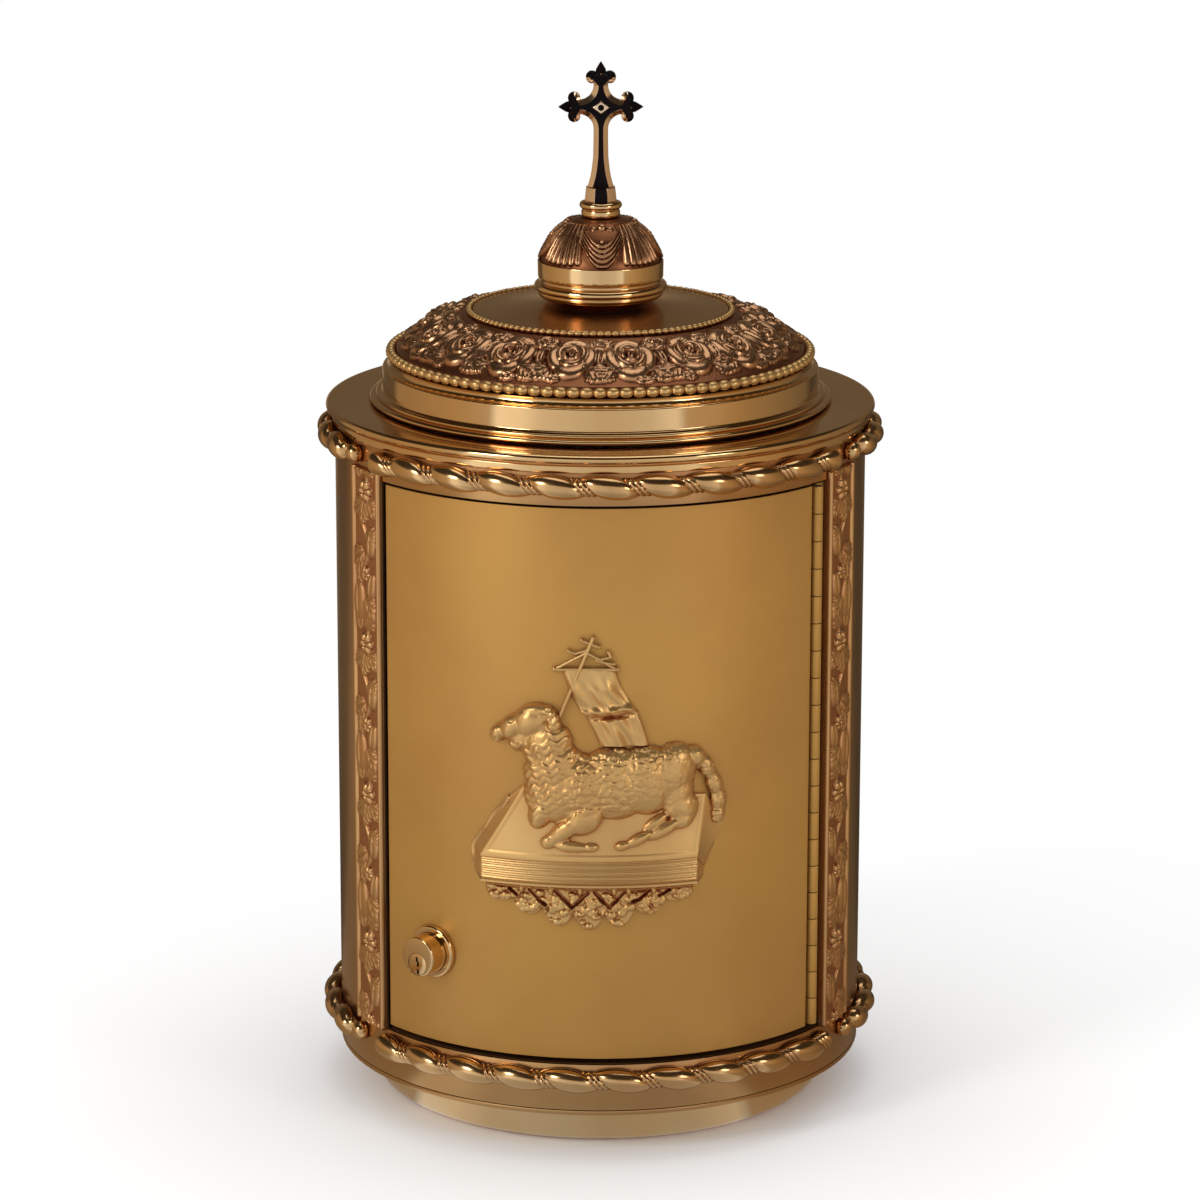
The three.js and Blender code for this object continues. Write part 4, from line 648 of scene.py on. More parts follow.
def set_floor():
    """A pale floor: white to the camera further out, and the room's low light to reflections."""
    material = bpy.data.materials.new("pale_floor")
    material.use_nodes = True
    tree = material.node_tree
    shader = tree.nodes["Principled BSDF"]
    shader.inputs["Base Color"].default_value = (0.97, 0.97, 0.97, 1)
    shader.inputs["Roughness"].default_value = 0.9
    shader.inputs["Specular IOR Level"].default_value = 0.0
    glow = tree.nodes.new("ShaderNodeEmission")
    place = tree.nodes.new("ShaderNodeTexCoord").outputs["Object"]
    room = use_group(tree, ROOM_LIGHT, Vector=place)
    away = tree.nodes.new("ShaderNodeVectorMath")
    away.operation = "LENGTH"
    tree.links.new(place, away.inputs[0])
    far = map_range(tree, away.outputs["Value"], *NEAR_FLOOR_REACH, NEAR_FLOOR_LIGHT, 1.0)
    tree.links.new(math_node(tree, "MULTIPLY", room.outputs["Light"], far), glow.inputs["Strength"])
    tree.links.new(room.outputs["Tint"], glow.inputs["Color"])
    path = tree.nodes.new("ShaderNodeLightPath")
    white = tree.nodes.new("ShaderNodeEmission")
    outside = map_range(tree, away.outputs["Value"], *WHITE_FLOOR_REACH)
    fade = math_node(tree, "MULTIPLY", path.outputs["Is Camera Ray"], outside)
    ground = tree.nodes.new("ShaderNodeMixShader")
    tree.links.new(fade, ground.inputs[0])
    tree.links.new(shader.outputs[0], ground.inputs[1])
    tree.links.new(white.outputs[0], ground.inputs[2])
    choose = tree.nodes.new("ShaderNodeMixShader")
    tree.links.new(path.outputs["Is Glossy Ray"], choose.inputs[0])
    tree.links.new(ground.outputs[0], choose.inputs[1])
    tree.links.new(glow.outputs[0], choose.inputs[2])
    tree.links.new(choose.outputs[0], tree.nodes["Material Output"].inputs["Surface"])
    bm = bmesh.new()
    bmesh.ops.create_circle(bm, cap_ends=True, segments=64, radius=FLOOR_RADIUS)
    mesh = bpy.data.meshes.new("floor")
    bm.to_mesh(mesh)
    bm.free()
    mesh.materials.append(material)
    floor = bpy.data.objects.new("floor", mesh)
    bpy.context.scene.collection.objects.link(floor)


# Lamps: name, place in metres, size and power in watts
LAMPS = [
    ("key_lamp", (-2.0, -1.7, 1.8), 0.9, 18.5),
    ("fill_lamp", (1.8, -1.7, 1.3), 0.7, 6.0),
    ("top_lamp", (0.2, 0.4, 2.4), 1.8, 10.0),
]
LAMP_AIM = Vector((0, 0, 0.3))


def set_lamps():
    for name, place, size, power in LAMPS:
        data = bpy.data.lights.new(name, "AREA")
        data.shape = "DISK"
        data.size = size
        data.energy = power
        lamp = bpy.data.objects.new(name, data)
        lamp.location = place
        toward = LAMP_AIM - Vector(place)
        lamp.rotation_euler = toward.to_track_quat("-Z", "Y").to_euler()
        bpy.context.scene.collection.objects.link(lamp)


bpy.context.scene.view_settings.view_transform = "Standard"
set_camera()
set_world()
set_floor()
set_lamps()


# Foot, base plate and wall
def finish_foot():
    face = flowing([(120, 0), (126.1, 2.4), (129.5, 7), (132.6, 13), (135.3, 19), (138, FOOT_TOP)])
    ring = turned([*face, (122.8, FOOT_TOP), (110, 0)], ROUND_STEPS)
    piece(soften(ring, 0.5), "foot_ring", POLISHED, "cabinet")


def finish_base_plate():
    plate = capped(turned([
        (0.5, PLATE_LOW), (WALL_RADIUS, PLATE_LOW), (WALL_RADIUS, PLATE_TOP), (0.5, PLATE_TOP),
    ], ROUND_STEPS))
    piece(soften(plate, 0.5), "base_plate", BURNISHED, "cabinet")


OUTER_SKIN = 0.45


def dull_and_shade_inside(bm):
    """Gives the second finish, unpolished metal darkened as painted shade, to a curved sheet, apart from its
    outer skin.
    """
    for face in bm.faces:
        middle = face.calc_center_median()
        if math.hypot(middle.x, middle.y) < (WALL_RADIUS - OUTER_SKIN) * MM:
            face.material_index = 1
    return bm


def in_opening(face):
    """Whether a face of the whole wall lies in the door's opening."""
    middle = face.calc_center_median()
    azimuth = abs(math.degrees(math.atan2(middle.x, -middle.y)))
    return SILL * MM < middle.z < HEAD * MM and azimuth < OPENING_ANGLE


def finish_wall():
    outline = [
        (INNER_RADIUS, WALL_LOW), (WALL_RADIUS, WALL_LOW), (WALL_RADIUS, SILL), (WALL_RADIUS, HEAD),
        (WALL_RADIUS, WALL_TOP), (INNER_RADIUS, WALL_TOP), (INNER_RADIUS, HEAD), (INNER_RADIUS, SILL),
    ]
    bm = turned(outline, WALL_STEPS)
    bmesh.ops.delete(bm, geom=[f for f in bm.faces if in_opening(f)], context="FACES")
    bmesh.ops.bridge_loops(bm, edges=[e for e in bm.edges if e.is_boundary])
    bmesh.ops.recalc_face_normals(bm, faces=bm.faces)
    piece(dull_and_shade_inside(soften(bm, 0.35, 50)), "body_shell", BURNISHED, "cabinet", 30, UNPOLISHED_AND_SHADED)


def finish_door():
    panel = turned([
        (INNER_RADIUS, DOOR_LOW), (WALL_RADIUS, DOOR_LOW), (WALL_RADIUS, DOOR_TOP), (INNER_RADIUS, DOOR_TOP),
    ], 108, DOOR_LEFT, DOOR_RIGHT - DOOR_LEFT)
    piece(dull_and_shade_inside(soften(panel, 0.45, 50)), "door_panel", SATIN, "door", 30, UNPOLISHED_AND_SHADED)


# Rope mouldings: fat lobes of one strand with two thin ribs of another between them
STRAND_PITCH = 29.45
STRAND_TWIST = 3.2
BACK_ROPE_INSET = 0.35
LOBE_SHARE = 0.79
GROOVE_DEPTH = 3.3
RIB_RISE = 1.5
ROPE_WRAP = 119
ROPE_ROUNDING = 6.0


def strand_radius(travel, turn, pitch):
    """Radius of the twisted rope at a place along it and a turn round it."""
    u = np.mod((travel + STRAND_TWIST * turn) / pitch, 1.0)
    lobe = np.sin(np.pi * np.clip(u / LOBE_SHARE, 0, 1)) ** 0.5
    ribs = np.abs(np.sin(2 * np.pi * np.clip((u - LOBE_SHARE) / (1 - LOBE_SHARE), 0, 1))) ** 0.8
    low = ROPE_RADIUS - GROOVE_DEPTH
    return np.where(u < LOBE_SHARE, low + GROOVE_DEPTH * lobe, low + RIB_RISE * ribs)


def finish_rope(node, z, start, end, step, phase=None):
    """A rope from one azimuth to another. Without a phase it lies closer and ends on whole lobes."""
    travel = math.radians(end - start) * ROPE_CENTRE
    pitch, rope_centre = STRAND_PITCH, ROPE_CENTRE
    if phase is None:
        phase = 0.0
        rope_centre -= BACK_ROPE_INSET
        pitch = travel / (round(travel / STRAND_PITCH - LOBE_SHARE) + LOBE_SHARE)
    azimuth = np.linspace(start, end, int(travel / step) + 1)
    along = np.radians(azimuth - start) * ROPE_CENTRE
    wrap = math.radians(ROPE_WRAP)
    turn = np.linspace(-wrap, wrap, 37)
    radius = strand_radius(along[:, None] + phase, turn[None, :], pitch)
    reach = np.minimum(along, travel - along)
    close = np.sqrt(np.clip(1 - (1 - np.clip(reach / ROPE_ROUNDING, 0, 1)) ** 2, 0, 1))
    radius = radius * (0.05 + 0.95 * close)[:, None]
    centre = FACE_RADIUS + (rope_centre - FACE_RADIUS) * (0.1 + 0.9 * close)[:, None]
    out = np.maximum(centre + radius * np.cos(turn), FACE_RADIUS + 0.1)
    up = z + radius * np.sin(turn)
    piece(skin(points_at(azimuth[:, None], out, up)), node, CORDED, "cabinet", 60)


def finish_ropes():
    for place, z, phase in (("bottom", ROPE_LOW, -0.8), ("top", ROPE_HIGH, 7.2)):
        finish_rope(place + "_front_rope", z, -FRONT_ROPE_ANGLE, FRONT_ROPE_ANGLE, 0.6, phase)
        finish_rope(place + "_back_rope", z, BACK_ROPE_ANGLE, 360 - BACK_ROPE_ANGLE, 0.8)


# Bosses between the ropes' ends
BOSS_RADIUS = 5.2
BOSS_CENTRE = 152.6
BOSS_AZIMUTH = 64.4


def push_out(vert, share):
    """Multiplies a point's distance from the cabinet's axis."""
    vert.co.x *= share
    vert.co.y *= share


def finish_bosses():
    for place, z in (("bottom", ROPE_LOW), ("top", ROPE_HIGH)):
        for side, sign in (("left", -1), ("right", 1)):
            bm = bmesh.new()
            bmesh.ops.create_uvsphere(bm, u_segments=40, v_segments=24, radius=BOSS_RADIUS * MM)
            moved(bm, at(sign * BOSS_AZIMUTH, BOSS_CENTRE, z))
            for vert in bm.verts:
                flat = math.hypot(vert.co.x, vert.co.y)
                push_out(vert, max(1.0, (FACE_RADIUS + SEAT) * MM / flat))
            bmesh.ops.recalc_face_normals(bm, faces=bm.faces)
            piece(bm, f"{place}_{side}_boss", CORDED, "cabinet", 60)


# Cornice, drum, cap, knop and collar: pieces turned on a lathe
def finish_cornice():
    lip_top = (152.4, DECK)
    lip_low = (152.9, DECK - 4.6)
    seat, skirt = WALL_TOP + GAP, WALL_TOP - 7.7
    outline = [
        (112, DECK), lip_top, *bow(lip_top, lip_low, -2.45, 10), (151.2, DECK - 4.9), (150.9, DECK - 5.5),
        (151.8, DECK - 6.2), (151.8, seat), (FIT_RADIUS, seat), (FIT_RADIUS, skirt),
        (FIT_RADIUS - 3.5, skirt), (FIT_RADIUS - 3.5, DECK - 3.5), (112, DECK - 3.5),
    ]
    piece(soften(turned(outline, ROUND_STEPS), 0.3, 32), "cornice", POLISHED, "cabinet")


def finish_drum():
    z = DRUM_LOW
    roll, step = (129, z), (126.2, z + 3)
    outline = [
        (114, z), roll, *bow(roll, (129, z + 2.7), 1.3), step, *bow(step, (125.4, z + 5.2), 1.0),
        (123.5, z + 5.6), (123, z + 6.4), (123, z + 18.2), (122.4, z + 18.8),
        *bow((122.4, z + 18.8), (118.6, z + 22.2), -1.0), (119.6, LEDGE), (107, LEDGE), (107, LEDGE - 2.5),
        (116, LEDGE - 4), (120.5, LEDGE - 7), (120.5, z + 2.8), (114, z + 2.8),
    ]
    piece(soften(turned(outline, ROUND_STEPS), 0.3, 32), "drum", POLISHED, "cabinet")


def finish_cap():
    z = CAP_LOW
    outline = [
        (STUD_BORE, z + 6.8), (22.5, z + 6.8), *bow((22.5, z + 6.8), (72.1, z + 2), 0.9, 12), (72.1, z),
        (65, z), (39.7, z + 3), (22.5, z + 4.8), (STUD_BORE, z + 4.8),
    ]
    piece(soften(turned(outline, 160), 0.35, 32), "dome_cap", BURNISHED, "cabinet")


def finish_knop():
    z, top = KNOP_LOW, KNOP_TOP
    roll_low, roll_top = (35.2, z + 5.5), (34.8, z + 10.4)
    outline = [
        (STUD_BORE, z), (21, z), *bow((21, z), (23, z + 1.4), -0.4), (30.5, z + 1.7),
        *bow((30.5, z + 1.7), (35.6, z + 4.9), 1.5), roll_low, *bow(roll_low, roll_top, 2.45, 12),
        (34.2, z + 10.9), (34.0, z + 12.4), (35.3, z + 13.2), (35.4, top + 1.8), (34.5, top + 1.8),
        (34.4, top), (STUD_BORE, top),
    ]
    piece(soften(turned(outline, 144), 0.3, 32), "knop_base", POLISHED, "cabinet")


def finish_collar():
    z, h = COLLAR_LOW, COLLAR_TOP - COLLAR_LOW
    outline = [
        (STUD_BORE, z), (10.4, z), *bow((10.4, z), (10.5, z + 4.2), 0.5, 6), (10.1, z + 4.6),
        *bow((10.1, z + 4.6), (10.3, z + h), 1.75, 12), (STUD_BORE, z + h),
    ]
    piece(soften(turned(outline, 96), 0.25, 32), "finial_collar", POLISHED, "cabinet")


def finish_bead_ring(node, circle, radius, count, columns, rows):
    """A ring of beads that just touch."""
    low = level(node, False)
    z = low + (level(node, True) - low) / 2
    turn = np.linspace(0, 2 * np.pi, rows, endpoint=False)
    azimuth = np.linspace(0, 360, count * columns, endpoint=False)
    swell = np.abs(np.sin(np.radians(azimuth) * count / 2)) ** 0.55
    size = radius * (0.42 + 0.58 * swell)[:, None]
    rows = points_at(azimuth[:, None], circle + size * np.cos(turn), z + size * np.sin(turn))
    piece(skin(rows, True), node, RELIEF, "cabinet", 70)


def finish_beads():
    finish_bead_ring("outer_bead_ring", 118.2, 2.9, 103, 10, 14)
    finish_bead_ring("inner_bead_ring", 74, 1.6, 112, 8, 12)


# Shapes that the carved pieces are composed of. Each gives heights over arrays of places.
def leaf(x, y, length, width, height):
    """A pointed leaf from the origin along +x, with a middle vein and ribs to its lobed edge."""
    t = np.clip(x / length, 0, 1)
    lobes = 1 + 0.13 * np.sin(t * 5 * np.pi * 2 - 1.2) * (1 - t)
    half = width * np.sin(np.pi * t ** 0.75) ** 0.7 * lobes + 1e-4
    q = np.abs(y) / half
    swell = np.sqrt(np.clip(1 - q ** 2.4, 0, 1)) * np.clip(4.5 * t * (1.12 - t), 0, 1) ** 0.5
    vein = 0.34 * np.exp(-(y / (0.11 * width)) ** 2)
    ribs = 0.13 * np.cos((x * 0.9 - np.abs(y) * 1.3) * 2 * np.pi / (0.28 * length))
    return np.where((x > 0) & (x < length) & (q < 1), height * swell * (0.86 - vein + ribs * (q > 0.2)), 0)


def bud(x, y, length, width, height):
    """A smooth drop, split by a groove."""
    t = (x / length) ** 2 + (y / width) ** 2
    groove = 0.4 * np.exp(-(y / (0.16 * width)) ** 2)
    return height * np.sqrt(np.clip(1 - t, 0, 1)) * (1 - groove)


def rosette(x, y, size, height, petals=6):
    """A small flower with a drilled middle."""
    r = np.hypot(x, y) / size
    a = np.arctan2(y, x)
    edge = 0.74 + 0.26 * np.abs(np.cos(petals * a / 2))
    shape = np.sqrt(np.clip(1 - (r / edge) ** 3, 0, 1)) * (0.75 + 0.25 * np.abs(np.cos(petals * a / 2)))
    drilled = 0.95 * np.exp(-(r / 0.25) ** 4)
    return height * shape * (1 - drilled)


# Where a rose's petals begin to roll over, as a share of their reach
PETAL_ROLL = 0.74


def rose(x, y, size, height, turn):
    """An open rose: rings of thick rolled petals round a curled heart."""
    r = np.hypot(x, y) / size
    a = np.arctan2(y, x) + turn
    whole = np.zeros_like(r)
    rings = ((1.0, 4, 0.62, 0.0), (0.64, 3, 0.85, 0.9), (0.38, 3, 1.0, 2.2))
    for reach, petals, top, twist in rings:
        lap = np.mod((a + twist + 0.5 * r) * petals / (2 * np.pi), 1.0)
        swell = np.sin(np.pi * lap) ** 0.45
        t = r / (reach * (0.86 + 0.14 * swell))
        roll = np.sqrt(np.clip(1 - ((t - PETAL_ROLL) / (1 - PETAL_ROLL)) ** 2, 0, 1)) * (0.45 + 0.55 * swell)
        bowl = 0.16 + (top - 0.3) * np.clip(t / PETAL_ROLL, 0, 1) ** 3
        petal = height * np.maximum(bowl * (t < PETAL_ROLL), top * roll)
        whole = np.maximum(whole, np.where(t < 1, petal, 0))
    heart = np.sqrt(np.clip(1 - (r / 0.17) ** 2, 0, 1)) * (0.75 + 0.25 * np.cos(2 * a + 9 * r))
    return np.maximum(whole, height * heart)


def turned_to(x, y, x0, y0, angle):
    """Places seen from a motif that stands at (x0, y0) and points along the angle."""
    a = math.radians(angle)
    dx, dy = x - x0, y - y0
    return dx * math.cos(a) + dy * math.sin(a), dy * math.cos(a) - dx * math.sin(a)


GROUND_WAVES = 7


def grainy(x, y, size, seed):
    """A rough cast ground."""
    rng = np.random.default_rng(seed)
    total = np.zeros_like(x)
    for _ in range(GROUND_WAVES):
        angle, phase = rng.uniform(0, np.pi), rng.uniform(0, 2 * np.pi)
        wave = rng.uniform(0.7, 1.6) * 2 * np.pi / size
        total = total + np.sin((x * math.cos(angle) + y * math.sin(angle)) * wave + phase)
    return total / GROUND_WAVES


def carved_ring(azimuth, face, height, under):
    """A carved face that runs round the axis, with its plain underside as points of (radius, height)."""
    rest = points_at(azimuth[:, None], np.array([p[0] for p in under]), np.array([p[1] for p in under]))
    relief = np.concatenate([height, np.zeros((len(azimuth), len(under)))], axis=1)
    return skin(np.concatenate([face, rest], axis=1), True, relief)


# Floral strips beside the door
STRIP_INNER_ANGLE = 54.9
STRIP_OUTER_ANGLE = 66.4
VINE_PERIOD = 67.0
VINE_SCALE = 1.3
VINE_START = 12.0
STEM_SWING = 3.4
STEM_HALF_WIDTH = 1.15
STEM_RISE = 1.5
# Motifs of one period: kind, across (positive towards the door), down, angle, length, width, height
VINE = [
    ("rosette", 1.0, 0.0, 0, 4.6, 0, 2.5),
    ("leaf", 0.5, -4.0, -100, 10.0, 3.4, 2.0),
    ("leaf", -1.0, -4.5, -140, 9.0, 3.0, 1.8),
    ("leaf", 3.0, -3.0, -55, 9.0, 2.8, 1.7),
    ("bud", 5.6, -22.5, 82, 5.6, 2.6, 2.4),
    ("leaf", 2.0, -17.0, -35, 9.0, 3.2, 1.9),
    ("leaf", -1.0, -27.0, -150, 10.5, 3.6, 2.1),
    ("leaf", -3.0, -31.0, -95, 9.5, 3.2, 2.0),
    ("rosette", 1.2, -36.5, 0, 3.2, 0, 2.0),
    ("bud", 5.4, -41.5, 80, 5.2, 2.4, 2.2),
    ("bud", -4.8, -50.0, 94, 8.2, 3.4, 2.5),
    ("leaf", 1.0, -46.0, -60, 11.0, 3.4, 2.0),
    ("bud", 5.6, -53.5, 100, 3.4, 2.2, 2.0),
    ("leaf", -1.5, -58.0, 60, 8.0, 2.8, 1.8),
    ("leaf", 2.0, 5.5, 70, 8.5, 3.0, 1.8),
    ("leaf", -2.5, 5.0, 115, 9.0, 3.2, 1.9),
]


def vine_height(x, y):
    """Height of the vine over the strip's field."""
    x, y = x / VINE_SCALE, y / VINE_SCALE
    stem_x = STEM_SWING * np.sin(2 * np.pi * y / VINE_PERIOD * 2)
    off = (x - stem_x) / STEM_HALF_WIDTH
    whole = STEM_RISE * np.sqrt(np.clip(1 - off ** 2, 0, 1))
    for kind, across, down, angle, length, width, height in VINE:
        near = np.mod(y - down + VINE_PERIOD / 2, VINE_PERIOD) - VINE_PERIOD / 2
        px, py = turned_to(x, near, across, 0.0, angle)
        if kind == "rosette":
            made = rosette(px, py, 1.15 * length, 1.2 * height)
        elif kind == "bud":
            made = bud(px, py, 1.2 * length, 1.45 * width, height)
        else:
            made = leaf(px, py, 1.15 * length, 1.5 * width, height)
        whole = np.maximum(whole, made)
    return whole + 0.08 * grainy(x, y, 2.2, 4) * (whole < 0.3)


def finish_strips():
    """Two strips, each with the vine between a narrow fillet at one edge and a wider one at the other."""
    half = math.radians(STRIP_OUTER_ANGLE - STRIP_INNER_ANGLE) / 2 * FACE_RADIUS
    across = np.linspace(-half, half, 84)
    z = np.linspace(STRIP_LOW, STRIP_HIGH, 700)
    edge = half - np.abs(across)
    width = np.where(across < 0, 3.3, 2.5)
    rounded = np.sqrt(np.clip(1 - ((edge - width / 2) / (width / 2)) ** 2, 0, 1))
    fillet = 1.2 + 1.6 * rounded * (edge < width)
    inside = np.clip((edge - width - 0.1) / 0.8, 0, 1)
    for side, sign in (("left", -1), ("right", 1)):
        x, y = np.meshgrid(across, z - STRIP_HIGH + VINE_START)
        carved = vine_height(x, y) * inside[None, :]
        height = fillet[None, :] + carved
        ends = np.minimum(z - STRIP_LOW, STRIP_HIGH - z)
        height = height * np.clip(0.6 + ends / 1.5, 0, 1)[:, None]
        middle = sign * (STRIP_INNER_ANGLE + STRIP_OUTER_ANGLE) / 2
        azimuth = middle - sign * np.degrees(across / FACE_RADIUS)
        front = points_at(azimuth[None, :], FACE_RADIUS + height, z[:, None])
        back = points_at(azimuth[[-1, 0]][None, :], FACE_RADIUS, z[:, None])
        relief = np.concatenate([carved + 2.0 * (1 - inside), np.zeros((len(z), 2))], axis=1)
        shape = skin(np.concatenate([front, back], axis=1), relief=relief)
        piece(shape, side + "_floral_strip", VINE_RELIEF, "cabinet", 60)


# Rose band of the lid
BAND_OUTER = (115.0, ROSE_LOW + 5.2)
BAND_INNER = (77.0, SMALL_BEADS_LOW - 0.3)
BAND_SLOPE = math.hypot(BAND_OUTER[0] - BAND_INNER[0], BAND_INNER[1] - BAND_OUTER[1])
BAND_SWELL = 1.6
BAND_PERIOD = 40.0
# Motifs of one period: kind, azimuth, place up the slope, angle, size, width and height. A rose's width
# is how much longer it is up the slope than across.
BAND = [
    ("rose", 8.0, 0.0, 20, 14.8, 1.2, 5.4), ("rose", 29.0, 0.8, 200, 14.2, 1.2, 5.2),
    ("rose", 18.6, 13.0, 80, 7.0, 1.0, 3.6), ("rose", -1.8, 12.5, 300, 6.4, 1.0, 3.4),
    ("leaf", 14.0, -9.0, -38, 14.0, 6.6, 3.0), ("leaf", 23.0, -9.0, -146, 13.0, 6.4, 3.0),
    ("leaf", 34.5, -9.0, -32, 15.0, 7.0, 3.0), ("leaf", 2.5, -9.5, -150, 13.0, 6.2, 3.0),
    ("leaf", 8.0, -16.0, -8, 12.0, 3.4, 2.2), ("leaf", 27.0, -16.5, 172, 12.0, 3.4, 2.2),
    ("leaf", 14.0, 10.0, 38, 12.0, 4.6, 2.4), ("leaf", 35.0, 9.5, 30, 14.0, 5.0, 2.6),
    ("leaf", 2.5, 11.0, 152, 12.0, 4.6, 2.4), ("leaf", 24.0, 12.5, 20, 10.0, 3.8, 2.2),
    ("bud", 18.6, 0.0, 95, 8.4, 3.0, 3.2), ("bud", -1.4, 0.5, 82, 9.0, 3.4, 3.2),
]


def band_height(azimuth, radius, y):
    """Height of the roses and leaves over the sloping band."""
    whole = np.zeros_like(azimuth)
    for kind, middle, up, angle, size, width, height in BAND:
        away = np.mod(azimuth - middle + BAND_PERIOD / 2, BAND_PERIOD) - BAND_PERIOD / 2
        x = np.radians(away) * radius
        if kind == "rose":
            made = rose(x, (y - up) / width, size, height, math.radians(angle))
        else:
            px, py = turned_to(x, y, 0.0, up, angle)
            made = (leaf if kind == "leaf" else bud)(px, py, size, width, height)
        whole = np.maximum(whole, made)
    return whole


def finish_rose_band():
    azimuth = np.linspace(0, 360, 1080, endpoint=False)
    share = np.linspace(0, 1, 84)
    radius = BAND_OUTER[0] + (BAND_INNER[0] - BAND_OUTER[0]) * share
    swell = BAND_SWELL * np.sin(np.pi * share)
    level_z = BAND_OUTER[1] + (BAND_INNER[1] - BAND_OUTER[1]) * share + swell
    y = (share - 0.5) * BAND_SLOPE
    a, r = np.meshgrid(azimuth, radius, indexing="ij")
    yy = np.broadcast_to(y, a.shape)
    margin = np.clip((BAND_SLOPE / 2 - np.abs(yy)) / 1.6, 0, 1)
    height = (band_height(a, r, yy) + 0.10 * grainy(np.radians(a) * r, yy, 3.0, 9)) * margin
    tilt = math.atan2(BAND_INNER[1] - BAND_OUTER[1], BAND_OUTER[0] - BAND_INNER[0])
    face = points_at(a, r + height * math.sin(tilt), level_z + height * math.cos(tilt))
    top = BAND_INNER[1]
    under = [
        (66, top), (66, top - 2.5), (77, top - 2.5), (96, 436.7), (112.5, 427), (112.5, ROSE_LOW),
        (115, ROSE_LOW),
    ]
    piece(carved_ring(azimuth, face, height, under), "rose_band", ANTIQUE, "cabinet", 75)


# Leaf dome of the knop: four palmettes, and a fluted leaf between each two
DOME_PERIOD = 90.0
PALMETTE_HEART = 22.3
# Beads on a palmette: place across, place down from its heart, radius and height
PALMETTE_BEADS = [
    (0, -1.9, 1.7, 2.6), (-1.8, 0.7, 1.5, 2.4), (1.8, 0.7, 1.5, 2.4), (0, -12.3, 2.5, 2.2),
    (-4.6, -10.8, 2.0, 1.4), (4.6, -10.8, 2.0, 1.4),
]
ARC_PITCH = 2.9
ARC_SPREAD = 9.5
ARC_START = 12.6


def dome_height(azimuth, radius, down, total):
    """Height of the leaves; down is the way from the dome's top along its face, in millimetres."""
    half_period = DOME_PERIOD / 2
    x = np.radians(np.mod(azimuth + half_period, DOME_PERIOD) - half_period) * radius
    below = down - PALMETTE_HEART
    away = below + x ** 2 / ARC_SPREAD
    arcs = np.abs(np.cos(np.pi * (away - ARC_START) / ARC_PITCH)) ** 0.8 * (away > 0.5)
    edge = np.clip((14.2 - away) / 0.7, 0, 1) * np.clip((down - 10.5 - 0.2 * np.abs(x)) / 2.0, 0, 1)
    edge = edge * np.clip((14.5 - np.abs(x)) / 1.0, 0, 1)
    whole = (0.45 + 1.7 * arcs) * edge
    for bx, by, size, rise in PALMETTE_BEADS:
        t = np.hypot(x - bx, below - by) / size
        whole = np.maximum(whole, rise * np.sqrt(np.clip(1 - t ** 2, 0, 1)))
    x = np.radians(np.mod(azimuth, DOME_PERIOD) - half_period) * radius
    half = 3.5 + 11.0 * np.clip(down / total, 0, 1) ** 0.8
    q = np.abs(x) / half
    flutes = np.abs(np.cos(np.pi * (q * 3.4 + 0.9 * (1 - down / total) ** 2))) ** 0.7
    end = 0.945 * total - 1.8 * (1 - flutes) - 1.2 * q ** 2
    leaf_sides = np.sqrt(np.clip(1 - q ** 6, 0, 1))
    leaf_root = np.clip((down - 7.5) / 3.0, 0, 1)
    leaf_tip = np.clip((end - down) / 0.8, 0, 1) ** 0.5
    whole = np.maximum(whole, (0.5 + 1.9 * flutes) * (leaf_sides * leaf_root * leaf_tip))
    return whole * np.clip((0.95 * total - down) / 0.5, 0, 1)


def finish_leaf_dome():
    z, rise = LEAVES_LOW, LEAVES_TOP - LEAVES_LOW
    outline = flowing([
        (9.5, z + rise), (14.2, z + rise * 0.97), (18.9, z + rise * 0.88), (24.0, z + rise * 0.71),
        (27.6, z + rise * 0.54), (32.2, z + rise * 0.22), (33.8, z + 0.2)], 20)
    line = np.array(outline)
    step = np.hypot(*np.diff(line, axis=0).T)
    down = np.concatenate([[0], np.cumsum(step)])
    slope = np.gradient(line, axis=0)
    normal = np.stack([-slope[:, 1], slope[:, 0]], axis=1)
    normal /= np.linalg.norm(normal, axis=1)[:, None]
    azimuth = np.linspace(0, 360, 480, endpoint=False)
    a, d = np.meshgrid(azimuth, down, indexing="ij")
    radius = np.broadcast_to(line[:, 0], a.shape)
    height = dome_height(a, radius, d, step.sum())
    face = points_at(a, radius + height * normal[:, 0], line[:, 1] + height * normal[:, 1])
    under = [
        (34.0, z + 0.1), (34.0, z), (28, z), (21, z + rise * 0.4), (12, z + rise * 0.68),
        (STUD_BORE, z + rise - 6.5), (STUD_BORE, z + rise),
    ]
    piece(carved_ring(azimuth, face, height, under), "leaf_dome", ANTIQUE, "cabinet", 75)


# Cross: bevelled bars with a trefoil at each end, black along the ridge and down the ferrule
CROSS_MIDDLE = CROSS_TIP - 25.5
RIM_HALF_DEPTH = 1.5
RIDGE_HALF_DEPTH = 3.5
BEVEL = 2.7
SHAFT_HALF = 4.05
ARM_HALF = 3.9
FILLET = 8.25
BUD_RADIUS = 3.5
BUD_OFF = 4.95
TIP_REACH = 8.75
SIDE_NECK = 14.9
TOP_NECK = 16.75
# Heights from the crossing and half widths of the shaft's flared foot
FOOT_FLARE = [(-45.6, 7.7), (-42.9, 6.7), (-39.0, 5.7), (-35.0, 5.0), (-28.0, 4.25), (-18.0, SHAFT_HALF)]


def arc(x, y, radius, start, end, steps):
    """Points of an arc by its middle, radius and the directions of its ends."""
    turns = [math.radians(start + (end - start) * k / steps) for k in range(steps + 1)]
    return [(x + radius * math.cos(a), y + radius * math.sin(a)) for a in turns]


